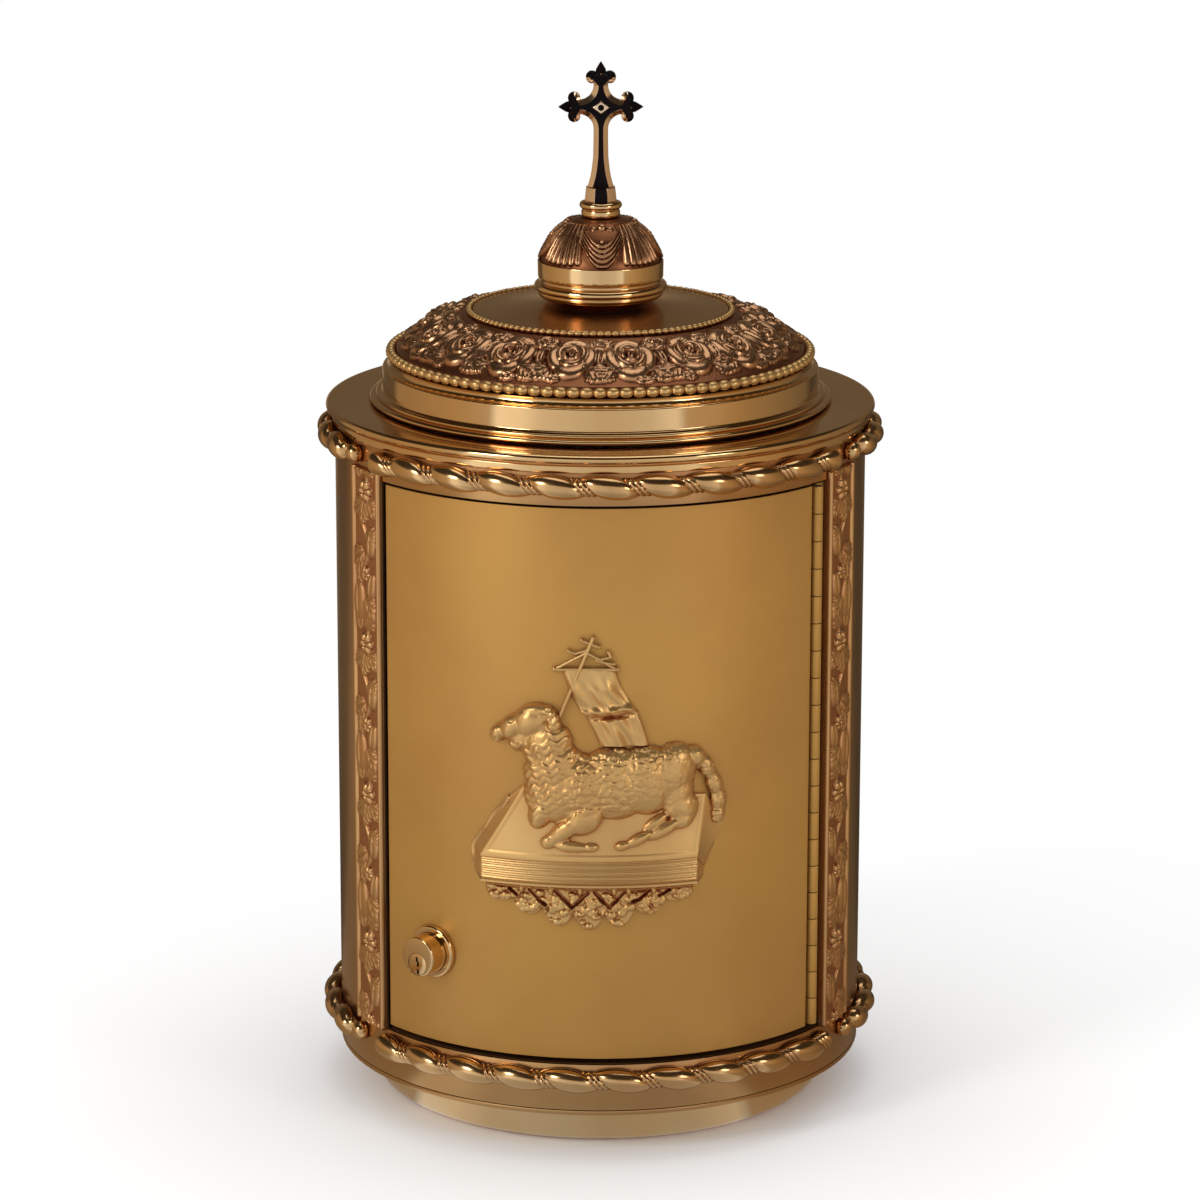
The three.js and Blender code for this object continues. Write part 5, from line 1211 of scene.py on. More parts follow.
def trefoil(neck, inset):
    """Half of a bar's end along +x, from the root of its upper bud to the tip's shoulder."""
    return [
        *arc(neck, BUD_OFF, BUD_RADIUS - 0.85 * inset, 200, -45, 11),
        (neck + 2.5 - 0.3 * inset, 3.1 - 1.05 * inset), (neck + 4.4 - 0.7 * inset, 2.7 - 0.92 * inset),
        (neck + 6.6 - 1.25 * inset, 1.4 - 0.48 * inset),
    ]


def cross_outline(inset):
    """The cross's outline from its foot, drawn in all round by the inset."""
    right = [(half - inset, y) for y, half in FOOT_FLARE]
    corner_x, corner_y = SHAFT_HALF + FILLET, ARM_HALF + FILLET
    lower = arc(corner_x, -corner_y, FILLET + inset, 180, 93, 9)
    end = trefoil(SIDE_NECK, inset)
    right += lower + [(x, -y) for x, y in end] + [(SIDE_NECK + TIP_REACH - 1.7 * inset, 0)] + end[::-1]
    right += [(x, -y) for x, y in reversed(lower)]
    right += [(y, x) for x, y in trefoil(TOP_NECK, inset)]
    return right + [(0, TOP_NECK + TIP_REACH - 1.7 * inset)] + [(-x, y) for x, y in reversed(right)]


# How far from the crossing the bars' edges turn black, and how far past the necks their faces do
SIDE_EDGE_BLACK = 12
TOP_EDGE_BLACK = 13.5
BUDS_BLACK = 2.6


def cross_bars():
    """The bars, with black on the sunk field along the ridge, on their outward edges and on the ends."""
    field_inset, field_depth = BEVEL + 0.2, RIDGE_HALF_DEPTH - 0.25
    levels = [
        (field_inset, field_depth), (BEVEL, RIDGE_HALF_DEPTH),
        (0.25, RIM_HALF_DEPTH + 0.15), (0, RIM_HALF_DEPTH - 0.1),
    ]
    levels += [(inset, -depth) for inset, depth in reversed(levels)]
    rows = []
    for inset, depth in levels:
        rows.append([Vector((x, depth, y + CROSS_MIDDLE)) * MM for x, y in cross_outline(inset)])
    bars = skin(rows)
    for face in bars.faces:
        middle, way = face.calc_center_median(), face.normal
        x, y = middle.x / MM, middle.z / MM - CROSS_MIDDLE
        on_field = abs(way.y) > 0.97 and abs(middle.y) < (field_depth + 0.05) * MM
        sideways = way.x * (x > SIDE_EDGE_BLACK) - way.x * (x < -SIDE_EDGE_BLACK)
        outward = max(sideways, way.z * (y > TOP_EDGE_BLACK))
        if on_field or outward > 0.05 or max(abs(x) - SIDE_NECK, y - TOP_NECK) > BUDS_BLACK:
            face.material_index = 1
    return bars


def cross_ferrule():
    """The eight-sided ferrule, black on its front and back."""
    z = FERRULE_LOW
    ferrule = capped(turned([
        (STUD_BORE, z), (9.6, z), (9.2, z + 3.8), (8.7, z + 7.7), (0.4, z + 8.3), (0.4, z + 7.2),
        (STUD_BORE, z + 7.2)], 8, 22.5))
    for face in ferrule.faces:
        middle = face.calc_center_median()
        if abs(face.normal.y) > 0.9 and abs(middle.y) > 6 * MM:
            face.material_index = 1
    return soften(ferrule, 0.25, 32)


def cross_lozenge(side):
    """The bright lozenge on the crossing with a black bead on it; side is 1 in front and -1 behind."""
    plate = bmesh.new()
    bmesh.ops.create_cone(plate, cap_ends=True, segments=4, radius1=MM, radius2=0.8 * MM, depth=0.8 * MM)
    bmesh.ops.scale(plate, verts=plate.verts, vec=(5.2, 4.0, 1))
    bmesh.ops.rotate(
        plate, verts=plate.verts, cent=(0, 0, 0), matrix=Matrix.Rotation(side * math.pi / 2, 3, "X"))
    moved(plate, (0, -side * (RIDGE_HALF_DEPTH + 0.1) * MM, CROSS_MIDDLE * MM))
    bead = bmesh.new()
    bmesh.ops.create_uvsphere(bead, u_segments=24, v_segments=12, radius=1.8 * MM)
    bmesh.ops.scale(bead, verts=bead.verts, vec=(1, 0.5, 1))
    moved(bead, (0, -side * (RIDGE_HALF_DEPTH + 0.3) * MM, CROSS_MIDDLE * MM))
    for face in bead.faces:
        face.material_index = 1
    return [soften(plate, 0.15, 32), bead]


def finish_cross():
    shapes = [cross_bars(), cross_ferrule(), *cross_lozenge(-1), *cross_lozenge(1)]
    piece(joined(*shapes), "cross", CROSS_GILT, "cabinet", 25, BLACK)


# Piano hinge
HINGE_AZIMUTH = 51.2
KNUCKLES = 20
KNUCKLE_RADIUS = 3.0
BARREL_BORE = 1.8
PIN_RADIUS = 1.45
LEAF_THICKNESS = 1.2
LEAF_REACH = math.degrees(18 / WALL_RADIUS)
LEAF_START = math.degrees(1.7 / WALL_RADIUS)
WEB_REACH = math.degrees(2.6 / WALL_RADIUS)


def finish_hinge():
    low, high = DOOR_LOW + 0.6, DOOR_TOP - 0.6
    pitch = (high - low) / KNUCKLES
    axis = at(HINGE_AZIMUTH, WALL_RADIUS, 0)
    outer, inner = FIT_RADIUS, FIT_RADIUS - LEAF_THICKNESS
    web_end = WALL_RADIUS - BARREL_BORE
    leaves = (("hinge_leaf_frame", 1, 0, "cabinet"), ("hinge_leaf_door", -1, 1, "door"))
    for node, side, first, body in leaves:
        sheet = [(inner, low), (outer, low), (outer, high), (inner, high)]
        shapes = [turned(sheet, 12, HINGE_AZIMUTH + side * LEAF_START, side * (LEAF_REACH - LEAF_START))]
        for i in range(first, KNUCKLES, 2):
            z0 = low + i * pitch + 0.2
            z1 = z0 + pitch - 0.4
            ring = [(BARREL_BORE, z0), (KNUCKLE_RADIUS, z0), (KNUCKLE_RADIUS, z1), (BARREL_BORE, z1)]
            barrel = moved(soften(turned(ring, 32), 0.3, 40), axis)
            web = turned([(inner, z0), (web_end, z0), (web_end, z1), (inner, z1)], 3,
                         HINGE_AZIMUTH + side * 0.75, side * (WEB_REACH - 0.6))
            shapes += [barrel, web]
        piece(joined(*shapes), node, SATIN, body, 40)
    pin = capped(turned([(0.2, low), (PIN_RADIUS, low), (PIN_RADIUS, high), (0.2, high)], 24))
    piece(moved(pin, axis), "hinge_pin", STEEL, "cabinet", 40)


# Cam lock
LOCK_AZIMUTH = -39.5
LOCK_HEIGHT = 110.0
LOCK_FRONT = WALL_RADIUS + 14.5
FLANGE_FRONT = FACE_RADIUS + 2.6
HOUSING_RADIUS = 11.2
PLUG_RADIUS = 6.25
PLUG_DROP = 4.2
PLUG_HEIGHT = LOCK_HEIGHT - PLUG_DROP
# Steps of the keyway: height, and place across and up from the plug's axis
KEYWAY = [(2.6, 0.0, 3.0), (2.8, 0.85, 0.6), (2.6, 0.1, -1.7), (2.6, 0.8, -3.9)]


def box_shape(width, height, depth, x, y, z):
    """A block by its size and its middle, in millimetres."""
    bm = bmesh.new()
    bmesh.ops.create_cube(bm, size=MM)
    bmesh.ops.scale(bm, verts=bm.verts, vec=(width, height, depth))
    return moved(bm, Vector((x, y, z)) * MM)


def shaft(radius, low, high, steps=64):
    """A solid cylinder round Z."""
    return capped(turned([(0.02, low), (radius, low), (radius, high), (0.02, high)], steps))


def finish_lock():
    """The flange is hollowed to fit the door, and the plug turns in a bore below the housing's middle."""
    rim, crown = (15, FLANGE_FRONT - 1.5), (13.2, FLANGE_FRONT)
    outline = [(11.5, 147.5), (15, 147.5), rim, *bow(rim, crown, 0.55, 6), (11.5, FLANGE_FRONT)]
    ring = stand_on_wall(turned(outline, 96), LOCK_AZIMUTH, LOCK_HEIGHT)
    flange = piece(ring, "lock_flange", POLISHED, "door")
    bored(flange, shaft(FACE_RADIUS, LOCK_HEIGHT - 30, LOCK_HEIGHT + 30, WALL_STEPS))
    edge, nose = (HOUSING_RADIUS, LOCK_FRONT - 0.9), (10.3, LOCK_FRONT)
    body = capped(turned([
        (0.02, WALL_RADIUS - 13), (HOUSING_RADIUS, WALL_RADIUS - 13), edge, *bow(edge, nose, 0.26, 5),
        (0.02, LOCK_FRONT)], 96))
    bore = moved(shaft(PLUG_RADIUS + 0.2, WALL_RADIUS - 15, LOCK_FRONT + 2), (0, -PLUG_DROP * MM, 0))
    housing = piece(stand_on_wall(body, LOCK_AZIMUTH, LOCK_HEIGHT), "lock_housing", POLISHED, "door")
    bored(housing, stand_on_wall(bore, LOCK_AZIMUTH, LOCK_HEIGHT))
    plug = soften(shaft(PLUG_RADIUS, WALL_RADIUS - 14.1, LOCK_FRONT - 0.1), 0.2)
    obj = piece(stand_on_wall(plug, LOCK_AZIMUTH, PLUG_HEIGHT), "lock_plug", POLISHED, "lock")
    for height, x, y in KEYWAY:
        step = box_shape(1.35, height, 12, x - 0.4, y - 0.4, LOCK_FRONT)
        bored(obj, stand_on_wall(step, LOCK_AZIMUTH, PLUG_HEIGHT))
    screw_hole = shaft(2.3, WALL_RADIUS - 16, WALL_RADIUS - 8, 24)
    bored(obj, stand_on_wall(screw_hole, LOCK_AZIMUTH, PLUG_HEIGHT))


# Plates inside: floor, ceiling and the door's stiffeners
STIFFENER_START = -49.4
STIFFENER_SWEEP = 92.8
STIFFENER_DEPTH = 5


def finish_inside():
    for node in ("floor_plate", "ceiling_plate"):
        plate = shaft(FIT_RADIUS, level(node, False), level(node, True), ROUND_STEPS)
        piece(soften(plate, 0.3), node, UNPOLISHED_AND_SHADED, "cabinet")
    outer, inner = FIT_RADIUS, FIT_RADIUS - STIFFENER_DEPTH
    for node in ("door_stiffener_bottom", "door_stiffener_top"):
        low, high = level(node, False), level(node, True)
        outline = [(inner, low), (outer, low), (outer, high), (inner, high)]
        bar = turned(outline, 72, STIFFENER_START, STIFFENER_SWEEP)
        piece(soften(bar, 0.5, 50), node, UNPOLISHED_AND_SHADED, "door")


# Relief on the door
RELIEF_RADIUS = 155.0


def mm_east(azimuth):
    """Distance along the wall in millimetres for an azimuth, at the relief's middle depth."""
    return azimuth * math.radians(1) * RELIEF_RADIUS


# Book: each station has the azimuth, bottom, top and depth of its pages, and the azimuth, height and depth
# at the back of its cover
SLAB_STATIONS = [
    (-28.4, 164.0, 177.0, 2.5, -21.2, 206.0, 1.0),
    (-25.8, SLAB_LOW, 175.0, 9.0, -17.1, 215.0, 1.6),
    (18.1, SLAB_LOW, 176.0, 9.0, 20.9, 208.0, 1.6),
    (20.3, 162.0, 168.0, 3.0, 25.0, 190.5, 1.0),
]
# Steps from each station to the next, and the book's length between the inner ones
SLAB_STEPS = (8, 150, 8)
SLAB_LENGTH = 119.0
SLAB_DEPTH = 9.0
# Marker ribbon: its azimuths and heights
RIBBON = [
    (-20.6, 207), (-22.0, 201), (-24.0, 195), (-25.2, 188), (-27.2, 182), (-28.6, 176), (-28.2, 170),
    (-28.9, 165),
]


def finish_slab():
    stations = []
    for (a, b), count in zip(zip(SLAB_STATIONS, SLAB_STATIONS[1:]), SLAB_STEPS):
        for i in range(count):
            stations.append([p + (q - p) * i / count for p, q in zip(a, b)])
    stations.append(list(SLAB_STATIONS[-1]))
    rows = []
    page = np.linspace(0, 1, 44)
    lines = 0.35 * np.sin(page * 2 * np.pi * 6.0) ** 2 + 0.55
    cut_in = np.where((page > 0.92) | (page < 0.07), 0.0, lines)
    slope = np.linspace(0, 1, 64)
    lead, run = SLAB_STEPS[:2]
    for k, (low, bottom, front, depth, back, top, thin) in enumerate(stations):
        share = min(1.0, depth / SLAB_DEPTH)
        face_z = bottom + (front - bottom) * page
        face_r = FACE_RADIUS + depth - cut_in * share
        face = points_at(low, face_r, face_z)
        azimuth = low + (back - low) * slope
        side = min(k - lead, lead + run - k) * SLAB_LENGTH / run
        edge = np.minimum(np.minimum(slope, 1 - slope) * 40, max(side, 0.0))
        border = 0.45 * np.exp(-((edge - 2.9) / 0.45) ** 2) + 0.25 * (edge > 3.2)
        flat_r = FACE_RADIUS + depth + (thin - depth) * slope - border * share
        sheet = points_at(azimuth, flat_r, front + (top - front) * slope)
        ends = points_at(np.array([back, low]), FACE_RADIUS, np.array([top, bottom]))
        rows.append(np.concatenate([face, sheet, ends]))
    ribbon = ribbon_shape(RIBBON, 4.6, 3.4)
    piece(joined(skin(rows), ribbon), "book_slab", RELIEF, "door", 40)


# Millimetres to a degree along the door
DEGREE = 2.7


def ribbon_shape(path, width, rise):
    """A curled ribbon that lies on the door along a path of (azimuth, height)."""
    line = np.array(flowing(path, 8))
    travel = np.linspace(0, 1, len(line))
    heading = np.gradient(line, axis=0) * np.array([DEGREE, 1.0])
    heading /= np.linalg.norm(heading, axis=1)[:, None]
    side = np.stack([heading[:, 1], -heading[:, 0]], axis=1)
    q = np.linspace(-1, 1, 15)
    half = width / 2 * np.sin(np.pi * (0.12 + 0.76 * travel)) ** 0.5
    az = line[:, 0][:, None] + side[:, 0][:, None] * q * half[:, None] / DEGREE
    z = line[:, 1][:, None] + side[:, 1][:, None] * q * half[:, None]
    wave = 0.62 + 0.3 * np.sin(travel * 2 * np.pi * 2.6)[:, None]
    curl = rise * wave * (0.55 + 0.45 * q ** 2) * np.sqrt(np.clip(1.02 - q ** 6, 0, 1))
    front = points_at(az, FACE_RADIUS + 0.3 + curl, z)
    back = points_at(az[:, ::-1], FACE_RADIUS + SEAT, z[:, ::-1])
    return skin(np.concatenate([front, back], axis=1))


# Each scallop of the fringe: azimuth of its middle and drop below the book
SCALLOPS = [(-22.3, 12), (-16.2, 18.5), (-10, 24.5), (-3.8, 26.5), (2.4, 24.5), (8.6, 18), (14.6, 11)]
SCALLOP_HALF_WIDTH = 10.2
FRINGE_RAIL = 3.0
# Azimuths of the drops that hang from the rail
RAIL_DROPS = (-17.8, -11.6, -5.6, 1.4, 4.4, 9.6)
# Slits of the fringe: azimuth and height of the start, the turn and the end
SLITS = [
    [(-20.4, 155.3), (-19.4, 153.4), (-18.9, 152.4)],
    [(-16.2, 155.2), (-14.4, 150.5), (-12.8, 147.6)],
    [(-10.6, 155.0), (-7.2, 146.6), (-4.0, 154.6)],
    [(-2.6, 155.0), (0.4, 146.8), (3.4, 154.6)],
    [(5.2, 149.8), (6.6, 151.2), (8.6, 155.4)],
    [(10.8, 152.6), (11.8, 154.0), (12.8, 155.6)],
]


def distance_to(x, y, x0, y0, x1, y1):
    """Distance of places from a straight line between two points."""
    dx, dy = x1 - x0, y1 - y0
    t = np.clip(((x - x0) * dx + (y - y0) * dy) / (dx * dx + dy * dy), 0, 1)
    return np.hypot(x - x0 - t * dx, y - y0 - t * dy)


def finish_fringe():
    """Clouds under the book: a rail, scallops of small puffs and slits between them."""
    azimuth = np.linspace(-25.9, 18.2, 280)
    x = mm_east(azimuth)
    floor = np.full_like(x, FRINGE_TOP - 4.0)
    for middle, drop in SCALLOPS:
        off = (x - mm_east(middle)) / SCALLOP_HALF_WIDTH
        floor = np.minimum(floor, FRINGE_TOP - 4 - (drop - 4) * np.sqrt(np.clip(1 - off ** 2, 0, 1)))
    share = np.linspace(0, 1, 64)
    z = FRINGE_TOP + (floor[:, None] - FRINGE_TOP) * share
    xx = np.broadcast_to(x[:, None], z.shape)
    down = FRINGE_TOP - z
    cloud = np.zeros_like(z)
    rng = random.Random(5)
    for middle, drop in SCALLOPS:
        for _ in range(26):
            cx = mm_east(middle) + rng.uniform(-9, 9)
            cy = rng.uniform(0.35, 1.0) * (drop - 1.6) - (abs(cx - mm_east(middle)) / 9) ** 2 * 4
            t = np.hypot(xx - cx, (down - cy) * 1.25) / rng.uniform(1.7, 3.0)
            cloud = np.maximum(cloud, rng.uniform(1.2, 2.1) * np.sqrt(np.clip(1 - t ** 2, 0, 1)))
    beading = 4.6 - 0.9 * np.abs(np.sin(np.clip(down, 0, FRINGE_RAIL) / FRINGE_RAIL * 2 * np.pi))
    height = np.where(down < FRINGE_RAIL, beading, 2.2 + cloud)
    for middle in RAIL_DROPS:
        t = np.hypot((xx - mm_east(middle)) / 2.0, (down - 3.2) / 3.4)
        height = np.maximum(height, 5.0 * np.sqrt(np.clip(1 - t ** 2, 0, 1)))
    for points in SLITS:
        near = np.full_like(z, 99.0)
        for (a0, z0), (a1, z1) in zip(points, points[1:]):
            near = np.minimum(near, distance_to(xx, z, mm_east(a0), z0, mm_east(a1), z1))
        wall = 4.5 * np.clip((near - 0.8) / 0.4, 0, 1)
        height = np.minimum(height, 0.25 + wall + 1.6 * np.clip(near - 1.2, 0, 9))
    rim = np.sqrt(np.clip(1 - (1 - np.clip((1 - share) * 14, 0, 1)) ** 2, 0, 1))
    ends = np.clip(np.minimum(x - x[0], x[-1] - x) / 1.5, 0, 1) ** 0.5
    height = height * (0.2 + 0.8 * rim) * (0.3 + 0.7 * ends)[:, None]
    front = points_at(azimuth[:, None], FACE_RADIUS + height, z)
    back = points_at(azimuth[:, None], FACE_RADIUS, z[:, [-1, 0]])
    piece(skin(np.concatenate([front, back], axis=1)), "cloud_fringe", RELIEF, "door", 55)


# Lamb: each mass has an azimuth, height, half width, half height, depth and tilt, and how far its
# middle stands off the door
LAMB = [
    # chest and neck
    (-10.0, 211, 19.5, 19, 10.0, 20, 0.0), (-11.0, 224, 17.5, 16, 9.8, 35, 0.0),
    (-12.6, 238, 14.5, 13.0, 8.8, 30, 0.0),
    # back, rump and haunch, and the front of the chest
    (-5.5, 214, 20, 20, 10.6, 0, 0.0), (1.5, 216.5, 21, 21.5, 10.4, 0, 0.0), (8, 218, 17, 20.5, 9.8, 0, 0.0),
    (13.4, 222, 14.0, 17.5, 9.6, -25, 0.0), (14.6, 209, 9.5, 14, 8.6, -12, 0.5),
    (-13.6, 200, 7.5, 11, 9.0, -20, 1.0),
    # head, muzzle, crown, jaw and ear
    (-16.0, 251.0, 10.4, 8.6, 7.6, 22, 1.2), (-19.8, 247.4, 8.4, 6.2, 6.4, 42, 1.6),
    (-22.9, 243.2, 5.4, 4.6, 5.0, 45, 2.0), (-15.0, 257.4, 8.6, 4.0, 5.4, 6, 1.5),
    (-17.6, 241.2, 9.0, 6.2, 5.4, 38, 0.6), (-11.0, 252.0, 3.4, 6.6, 3.2, 12, 4.4),
    (-12.2, 257.4, 3.8, 3.0, 3.6, -20, 3.2),
    # foreleg
    (-4.6, 198, 11, 8.5, 5.0, 42, 6.0), (-8.8, 190.8, 11, 5.2, 4.4, 38, 6.6),
    (-11.8, 184.8, 5.0, 4.2, 4.0, 20, 7.0), (-7.2, 182.6, 9.6, 3.1, 3.2, -4, 8.0),
    (-3.4, 182.4, 4.8, 2.7, 2.8, 4, 8.0),
    # hind legs
    (15.4, 202.5, 9.5, 10.0, 6.0, 40, 3.6), (15.4, 195.6, 6.6, 4.8, 4.6, 20, 5.2),
    (11.4, 191.2, 11.0, 3.6, 3.8, 27, 6.4), (6.0, 186.4, 8.6, 3.0, 3.2, 26, 7.4),
    (2.8, 183.2, 4.4, 2.6, 2.8, 14, 8.0), (9.6, 195.0, 8.4, 3.0, 3.2, 30, 4.6),
    # tail
    (18.6, 230.6, 5.2, 6.2, 5.2, 40, 1.5), (21.0, 223.6, 4.6, 7.4, 4.8, 26, 1.5),
    (22.8, 214.0, 4.8, 7.8, 4.6, 14, 1.5), (23.8, 204.6, 4.8, 7.2, 4.4, 6, 1.5),
    (23.6, 196.4, 4.2, 5.4, 4.0, -14, 1.5),
]
# Dents: azimuth, height, reach and depth of the eye socket, the eye, which stands out, the nostril,
# the mouth, the inner ear and the clefts of the hoofs
DENTS = [
    (-19.7, 252.0, 2.3, 0.9), (-19.7, 252.2, 1.1, -0.9), (-23.9, 243.9, 1.1, 0.8), (-23.4, 241.0, 1.6, 0.7),
    (-21.6, 240.9, 1.5, 0.5), (-11.0, 254.0, 2.2, 0.6), (-3.0, 181.6, 1.2, 0.6), (1.9, 182.0, 1.2, 0.6),
]
# Height of a row of wavy locks, the share of its depth that the lamb keeps, and the seed of its wool,
# without which the noise would start from the clock
WOOL_ROW = 4.2
LAMB_SQUEEZE = 0.94
WOOL_SEED = 5


def lamb_mass(azimuth, z, half_width, half_height, depth, tilt, off):
    bm = bmesh.new()
    bmesh.ops.create_uvsphere(bm, u_segments=40, v_segments=24, radius=MM)
    bmesh.ops.scale(bm, verts=bm.verts, vec=(half_width, half_height, depth))
    bmesh.ops.rotate(bm, verts=bm.verts, cent=(0, 0, 0), matrix=Matrix.Rotation(math.radians(tilt), 3, "Z"))
    moved(bm, (0, 0, (FACE_RADIUS + off) * MM))
    return stand_on_wall(bm, azimuth, z)


def wall_place(co):
    """Azimuth, radius and height of a point."""
    return math.degrees(math.atan2(co.x, -co.y)), math.hypot(co.x, co.y) / MM, co.z / MM


def wool(azimuth, z):
    """How woolly the lamb is at a place, from 0 on its face, legs and haunch to 1 on its back."""
    x = mm_east(azimuth)
    haunch = 0.35 + 0.65 / (1 + math.exp((x - 14 - 0.9 * max(z - 212, 0)) / 2.5))
    legs = 1 / (1 + math.exp((200 - z) / 1.6))
    face = 1 / (1 + math.exp((-x - 36 + (262 - z) * 0.1) / 1.5)) if z > 240 else 1.0
    tail = 0.8 if x > 49 and z < 226 else 0.0
    return max(haunch * legs * face, tail)


def neck_share(azimuth, z):
    """How far a place belongs to the neck and chest, where the wool hangs in long wavy locks."""
    return 1 / (1 + math.exp((mm_east(azimuth) + 27 - 0.25 * (z - 215)) / 2.5))


def wavy_lock(x, z):
    """Height of the locks in rows across the neck and chest."""
    drop = z + 1.1 * math.sin(0.75 * x + 0.22 * z) - 0.16 * x
    row = math.floor(drop / WOOL_ROW)
    ridge = abs(math.sin(math.pi * drop / WOOL_ROW)) ** 0.7
    return 1.15 * ridge * (0.72 + 0.28 * math.sin(0.95 * x + 2.1 * row)) - 0.3


def kneaded_lamb():
    """The lamb's masses grown together into one soft form."""
    bm = joined(*[lamb_mass(*row) for row in LAMB])
    mesh = bpy.data.meshes.new("lamb_masses")
    bm.to_mesh(mesh)
    bm.free()
    clay = bpy.data.objects.new("lamb_masses", mesh)
    bpy.context.scene.collection.objects.link(clay)
    knead = clay.modifiers.new("knead", "REMESH")
    knead.mode = "VOXEL"
    knead.voxel_size = 0.62 * MM
    soft = clay.modifiers.new("soft", "SMOOTH")
    soft.factor = 0.5
    soft.iterations = 9
    shaped = bpy.data.meshes.new_from_object(clay.evaluated_get(bpy.context.evaluated_depsgraph_get()))
    bm = bmesh.new()
    bm.from_mesh(shaped)
    bpy.data.objects.remove(clay)
    bpy.data.meshes.remove(shaped)
    bm.normal_update()
    return bm


def fleece(azimuth, radius, z):
    """Height of the wool over the lamb's soft form: curled tufts, and wavy locks on the neck and chest."""
    x = mm_east(azimuth)
    amount = wool(azimuth, z)
    stretch = Vector((x / 4.6, (radius - 150) / 5.0, z / 3.6))
    warp = noise.noise_vector(stretch * 0.55) * 0.55
    near, cell = noise.voronoi(stretch + warp)
    curl = stretch + warp - cell[0]
    lock = math.cos(near[0] * 9.0 - math.atan2(curl.z, curl.x))
    tuft = 0.85 * (1 - min(near[0] * 1.25, 1.0) ** 2) + 0.2 * lock - 0.3
    tuft += neck_share(azimuth, z) * (wavy_lock(x, z) - tuft)
    fine = 0.10 * noise.noise(Vector((x * 0.9, radius * 0.9, z * 0.45)))
    return amount * tuft + (1 - amount) * fine


def finish_lamb():
    bm = kneaded_lamb()
    noise.seed_set(WOOL_SEED)
    moves = [vert.normal * (fleece(*wall_place(vert.co)) * MM) for vert in bm.verts]
    for vert, move in zip(bm.verts, moves):
        vert.co += move
    for azimuth, z, reach, depth in DENTS:
        x = mm_east(azimuth)
        for vert in bm.verts:
            here, radius, height = wall_place(vert.co)
            away = math.hypot(mm_east(here) - x, height - z)
            if away < reach and radius > FACE_RADIUS + 1.5:
                pull = depth * (1 - (away / reach) ** 2) * MM
                vert.co -= Vector((vert.co.x, vert.co.y, 0)).normalized() * pull
    for vert in bm.verts:
        radius = wall_place(vert.co)[1]
        push_out(vert, (FACE_RADIUS + max(SEAT, LAMB_SQUEEZE * (radius - FACE_RADIUS))) / radius)
    posts = []
    for nut in ("relief_nut_1", "relief_nut_2"):
        azimuth, _, z = wall_place(sum(map(Vector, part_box(nut)), Vector()) / 2)
        posts.append(stand_on_wall(shaft(2.0, FIT_RADIUS - 4.4, FACE_RADIUS + 4, 32), azimuth, z))
    piece(joined(bm, *posts), "lamb", RELIEF, "door", 180)


# Banner: each station has a height and its left and right azimuth
BANNER = [
    (281, -9.4, 1.6), (276, -8.8, 2.2), (270, -8, 3), (265, -7.2, 4.2), (261, -6.2, 5.2),
    (258.0, -5.6, 5.9), (256.6, -4.9, 6.6), (255.2, -4.3, 6.4), (252, -3.8, 7.0), (247, -2.8, 7.6),
    (243, -2.2, 8.1), (238.5, -1.6, 8.6),
]
BANNER_DRAPE = 42
# Rods of the staff: azimuth and height of each end, and radius
RODS = [
    (-9.75, 255, -2.95, 299.5, 1.15), (-5.2, 297.7, -1.9, 294.3, 0.95), (-10.8, 281.2, 1.8, 281.6, 1.15),
    (-4.3, 291, -10.8, 281.2, 0.8), (-4.3, 291, 1.8, 281.6, 0.8),
    (-4.3, 291, -1.6, 287.2, 0.9), (-1.6, 287.2, 0.6, 288.6, 0.9), (0.6, 288.6, 0.2, 291.0, 0.9),
    (-4.0, 292.5, -6.6, 290.4, 0.9), (-6.6, 290.4, -8.0, 291.8, 0.8), (-2.2, 286.5, 1.2, 284.6, 0.8),
]
# Knobs where rods end or meet: azimuth, height and radius
KNOBS = [
    (-2.9, 299.0, 1.5), (-5.3, 297.8, 1.3), (-1.8, 294.2, 1.3), (-10.9, 281.2, 1.5), (1.9, 281.6, 1.5),
    (-4.2, 290.6, 1.6), (-1.6, 287.2, 1.4), (0.6, 288.6, 1.3), (0.2, 291.0, 1.3), (-6.6, 290.4, 1.3),
    (-8.0, 291.8, 1.2), (1.2, 284.6, 1.3), (-2.2, 286.5, 1.2),
]


def rod_shape(start, end, radius):
    """A round rod between two points."""
    along = end - start
    bm = bmesh.new()
    bmesh.ops.create_cone(
        bm, cap_ends=True, segments=20, radius1=radius * MM, radius2=radius * MM, depth=along.length)
    turn = along.to_track_quat("Z", "Y").to_matrix().to_4x4()
    bmesh.ops.transform(bm, matrix=Matrix.Translation((start + end) / 2) @ turn, verts=bm.verts)
    return bm


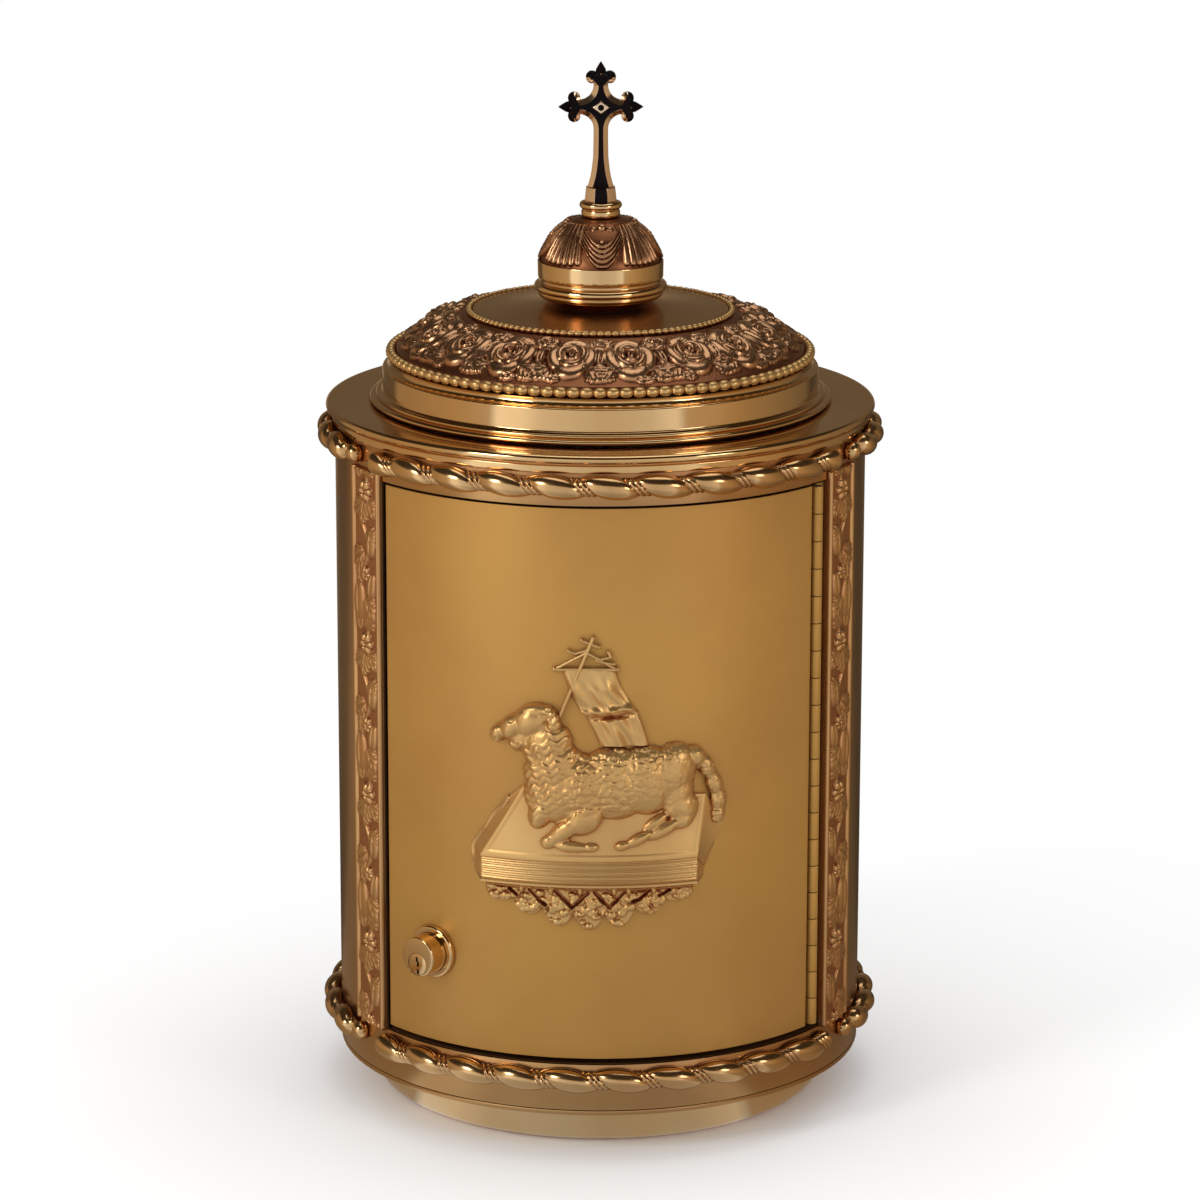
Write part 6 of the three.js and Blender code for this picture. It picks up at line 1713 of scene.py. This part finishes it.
def banner_cloth():
    """The cloth, draped between its stations, with a fold and a slit across it."""
    line = np.array(BANNER)
    top, foot = BANNER[0][0], BANNER[-1][0]
    z = np.linspace(top, foot, 110)
    order = np.argsort(line[:, 0])
    left = np.interp(z, line[order, 0], line[order, 1])
    right = np.interp(z, line[order, 0], line[order, 2])
    q = np.linspace(0, 1, 48)
    azimuth = left[:, None] + (right - left)[:, None] * q
    zz = np.broadcast_to(z[:, None], azimuth.shape)
    drift = (top - zz) / BANNER_DRAPE
    folds = 1.1 * np.sin(q * 2 * np.pi * 1.6 + drift * 4.6)
    folds = folds + 0.55 * np.sin(q * 2 * np.pi * 3.1 - drift * 8.0 + 1)
    folds = folds + 1.3 * np.sin(np.pi * q) * np.sin(np.pi * np.clip(drift / 0.55, 0, 1))
    overlap = 1.9 * np.exp(-((zz - 258.3 - 3.0 * (q - 0.5)) / 1.9) ** 2)
    slit = 2.6 * np.exp(-((zz - 254.6 - 3.0 * (q - 0.5)) / 0.95) ** 2)
    slit = slit * np.clip(np.sin(np.pi * q) * 1.6 - 0.2, 0, 1)
    depth = 2.9 + folds * np.clip(drift * 4, 0.2, 1) + overlap - slit
    hem = np.clip(np.minimum(q, 1 - q) * 9, 0, 1) ** 0.5
    depth = np.maximum(depth, 0.5) * (0.35 + 0.65 * hem)
    front = points_at(azimuth, FACE_RADIUS + depth, zz)
    back = points_at(azimuth[:, [-1, 0]], FACE_RADIUS + SEAT, zz[:, [-1, 0]])
    return skin(np.concatenate([front, back], axis=1))


def finish_banner():
    shapes = [banner_cloth()]
    for a0, z0, a1, z1, radius in RODS:
        shapes.append(rod_shape(at(a0, FACE_RADIUS + 2.6, z0), at(a1, FACE_RADIUS + 2.6, z1), radius))
    for azimuth, z0, radius in KNOBS:
        knob = bmesh.new()
        bmesh.ops.create_icosphere(knob, subdivisions=3, radius=radius * MM)
        shapes.append(moved(knob, at(azimuth, FACE_RADIUS + 1.8, z0)))
    piece(joined(*shapes), "staff_and_banner", RELIEF, "door", 50)


finish_foot()
finish_base_plate()
finish_wall()
finish_door()
finish_ropes()
finish_bosses()
finish_strips()
finish_cornice()
finish_drum()
finish_rose_band()
finish_beads()
finish_cap()
finish_knop()
finish_leaf_dome()
finish_collar()
finish_cross()
finish_hinge()
finish_lock()
finish_inside()
finish_slab()
finish_fringe()
finish_lamb()
finish_banner()

# Nodes of the frame that keep their shape and get a finish
KEPT = {
    "satin_gilt": SATIN, "polished_gilt": POLISHED, "relief_gilt": RELIEF, "dark_brass": DARK_BRASS,
    "steel": STEEL,
}
for row in frame["record"]["subparts"]:
    obj = frame["nodes"][row["node"]]
    obj.data.materials.clear()
    obj.data.materials.append(KEPT[row["material_slot"]])
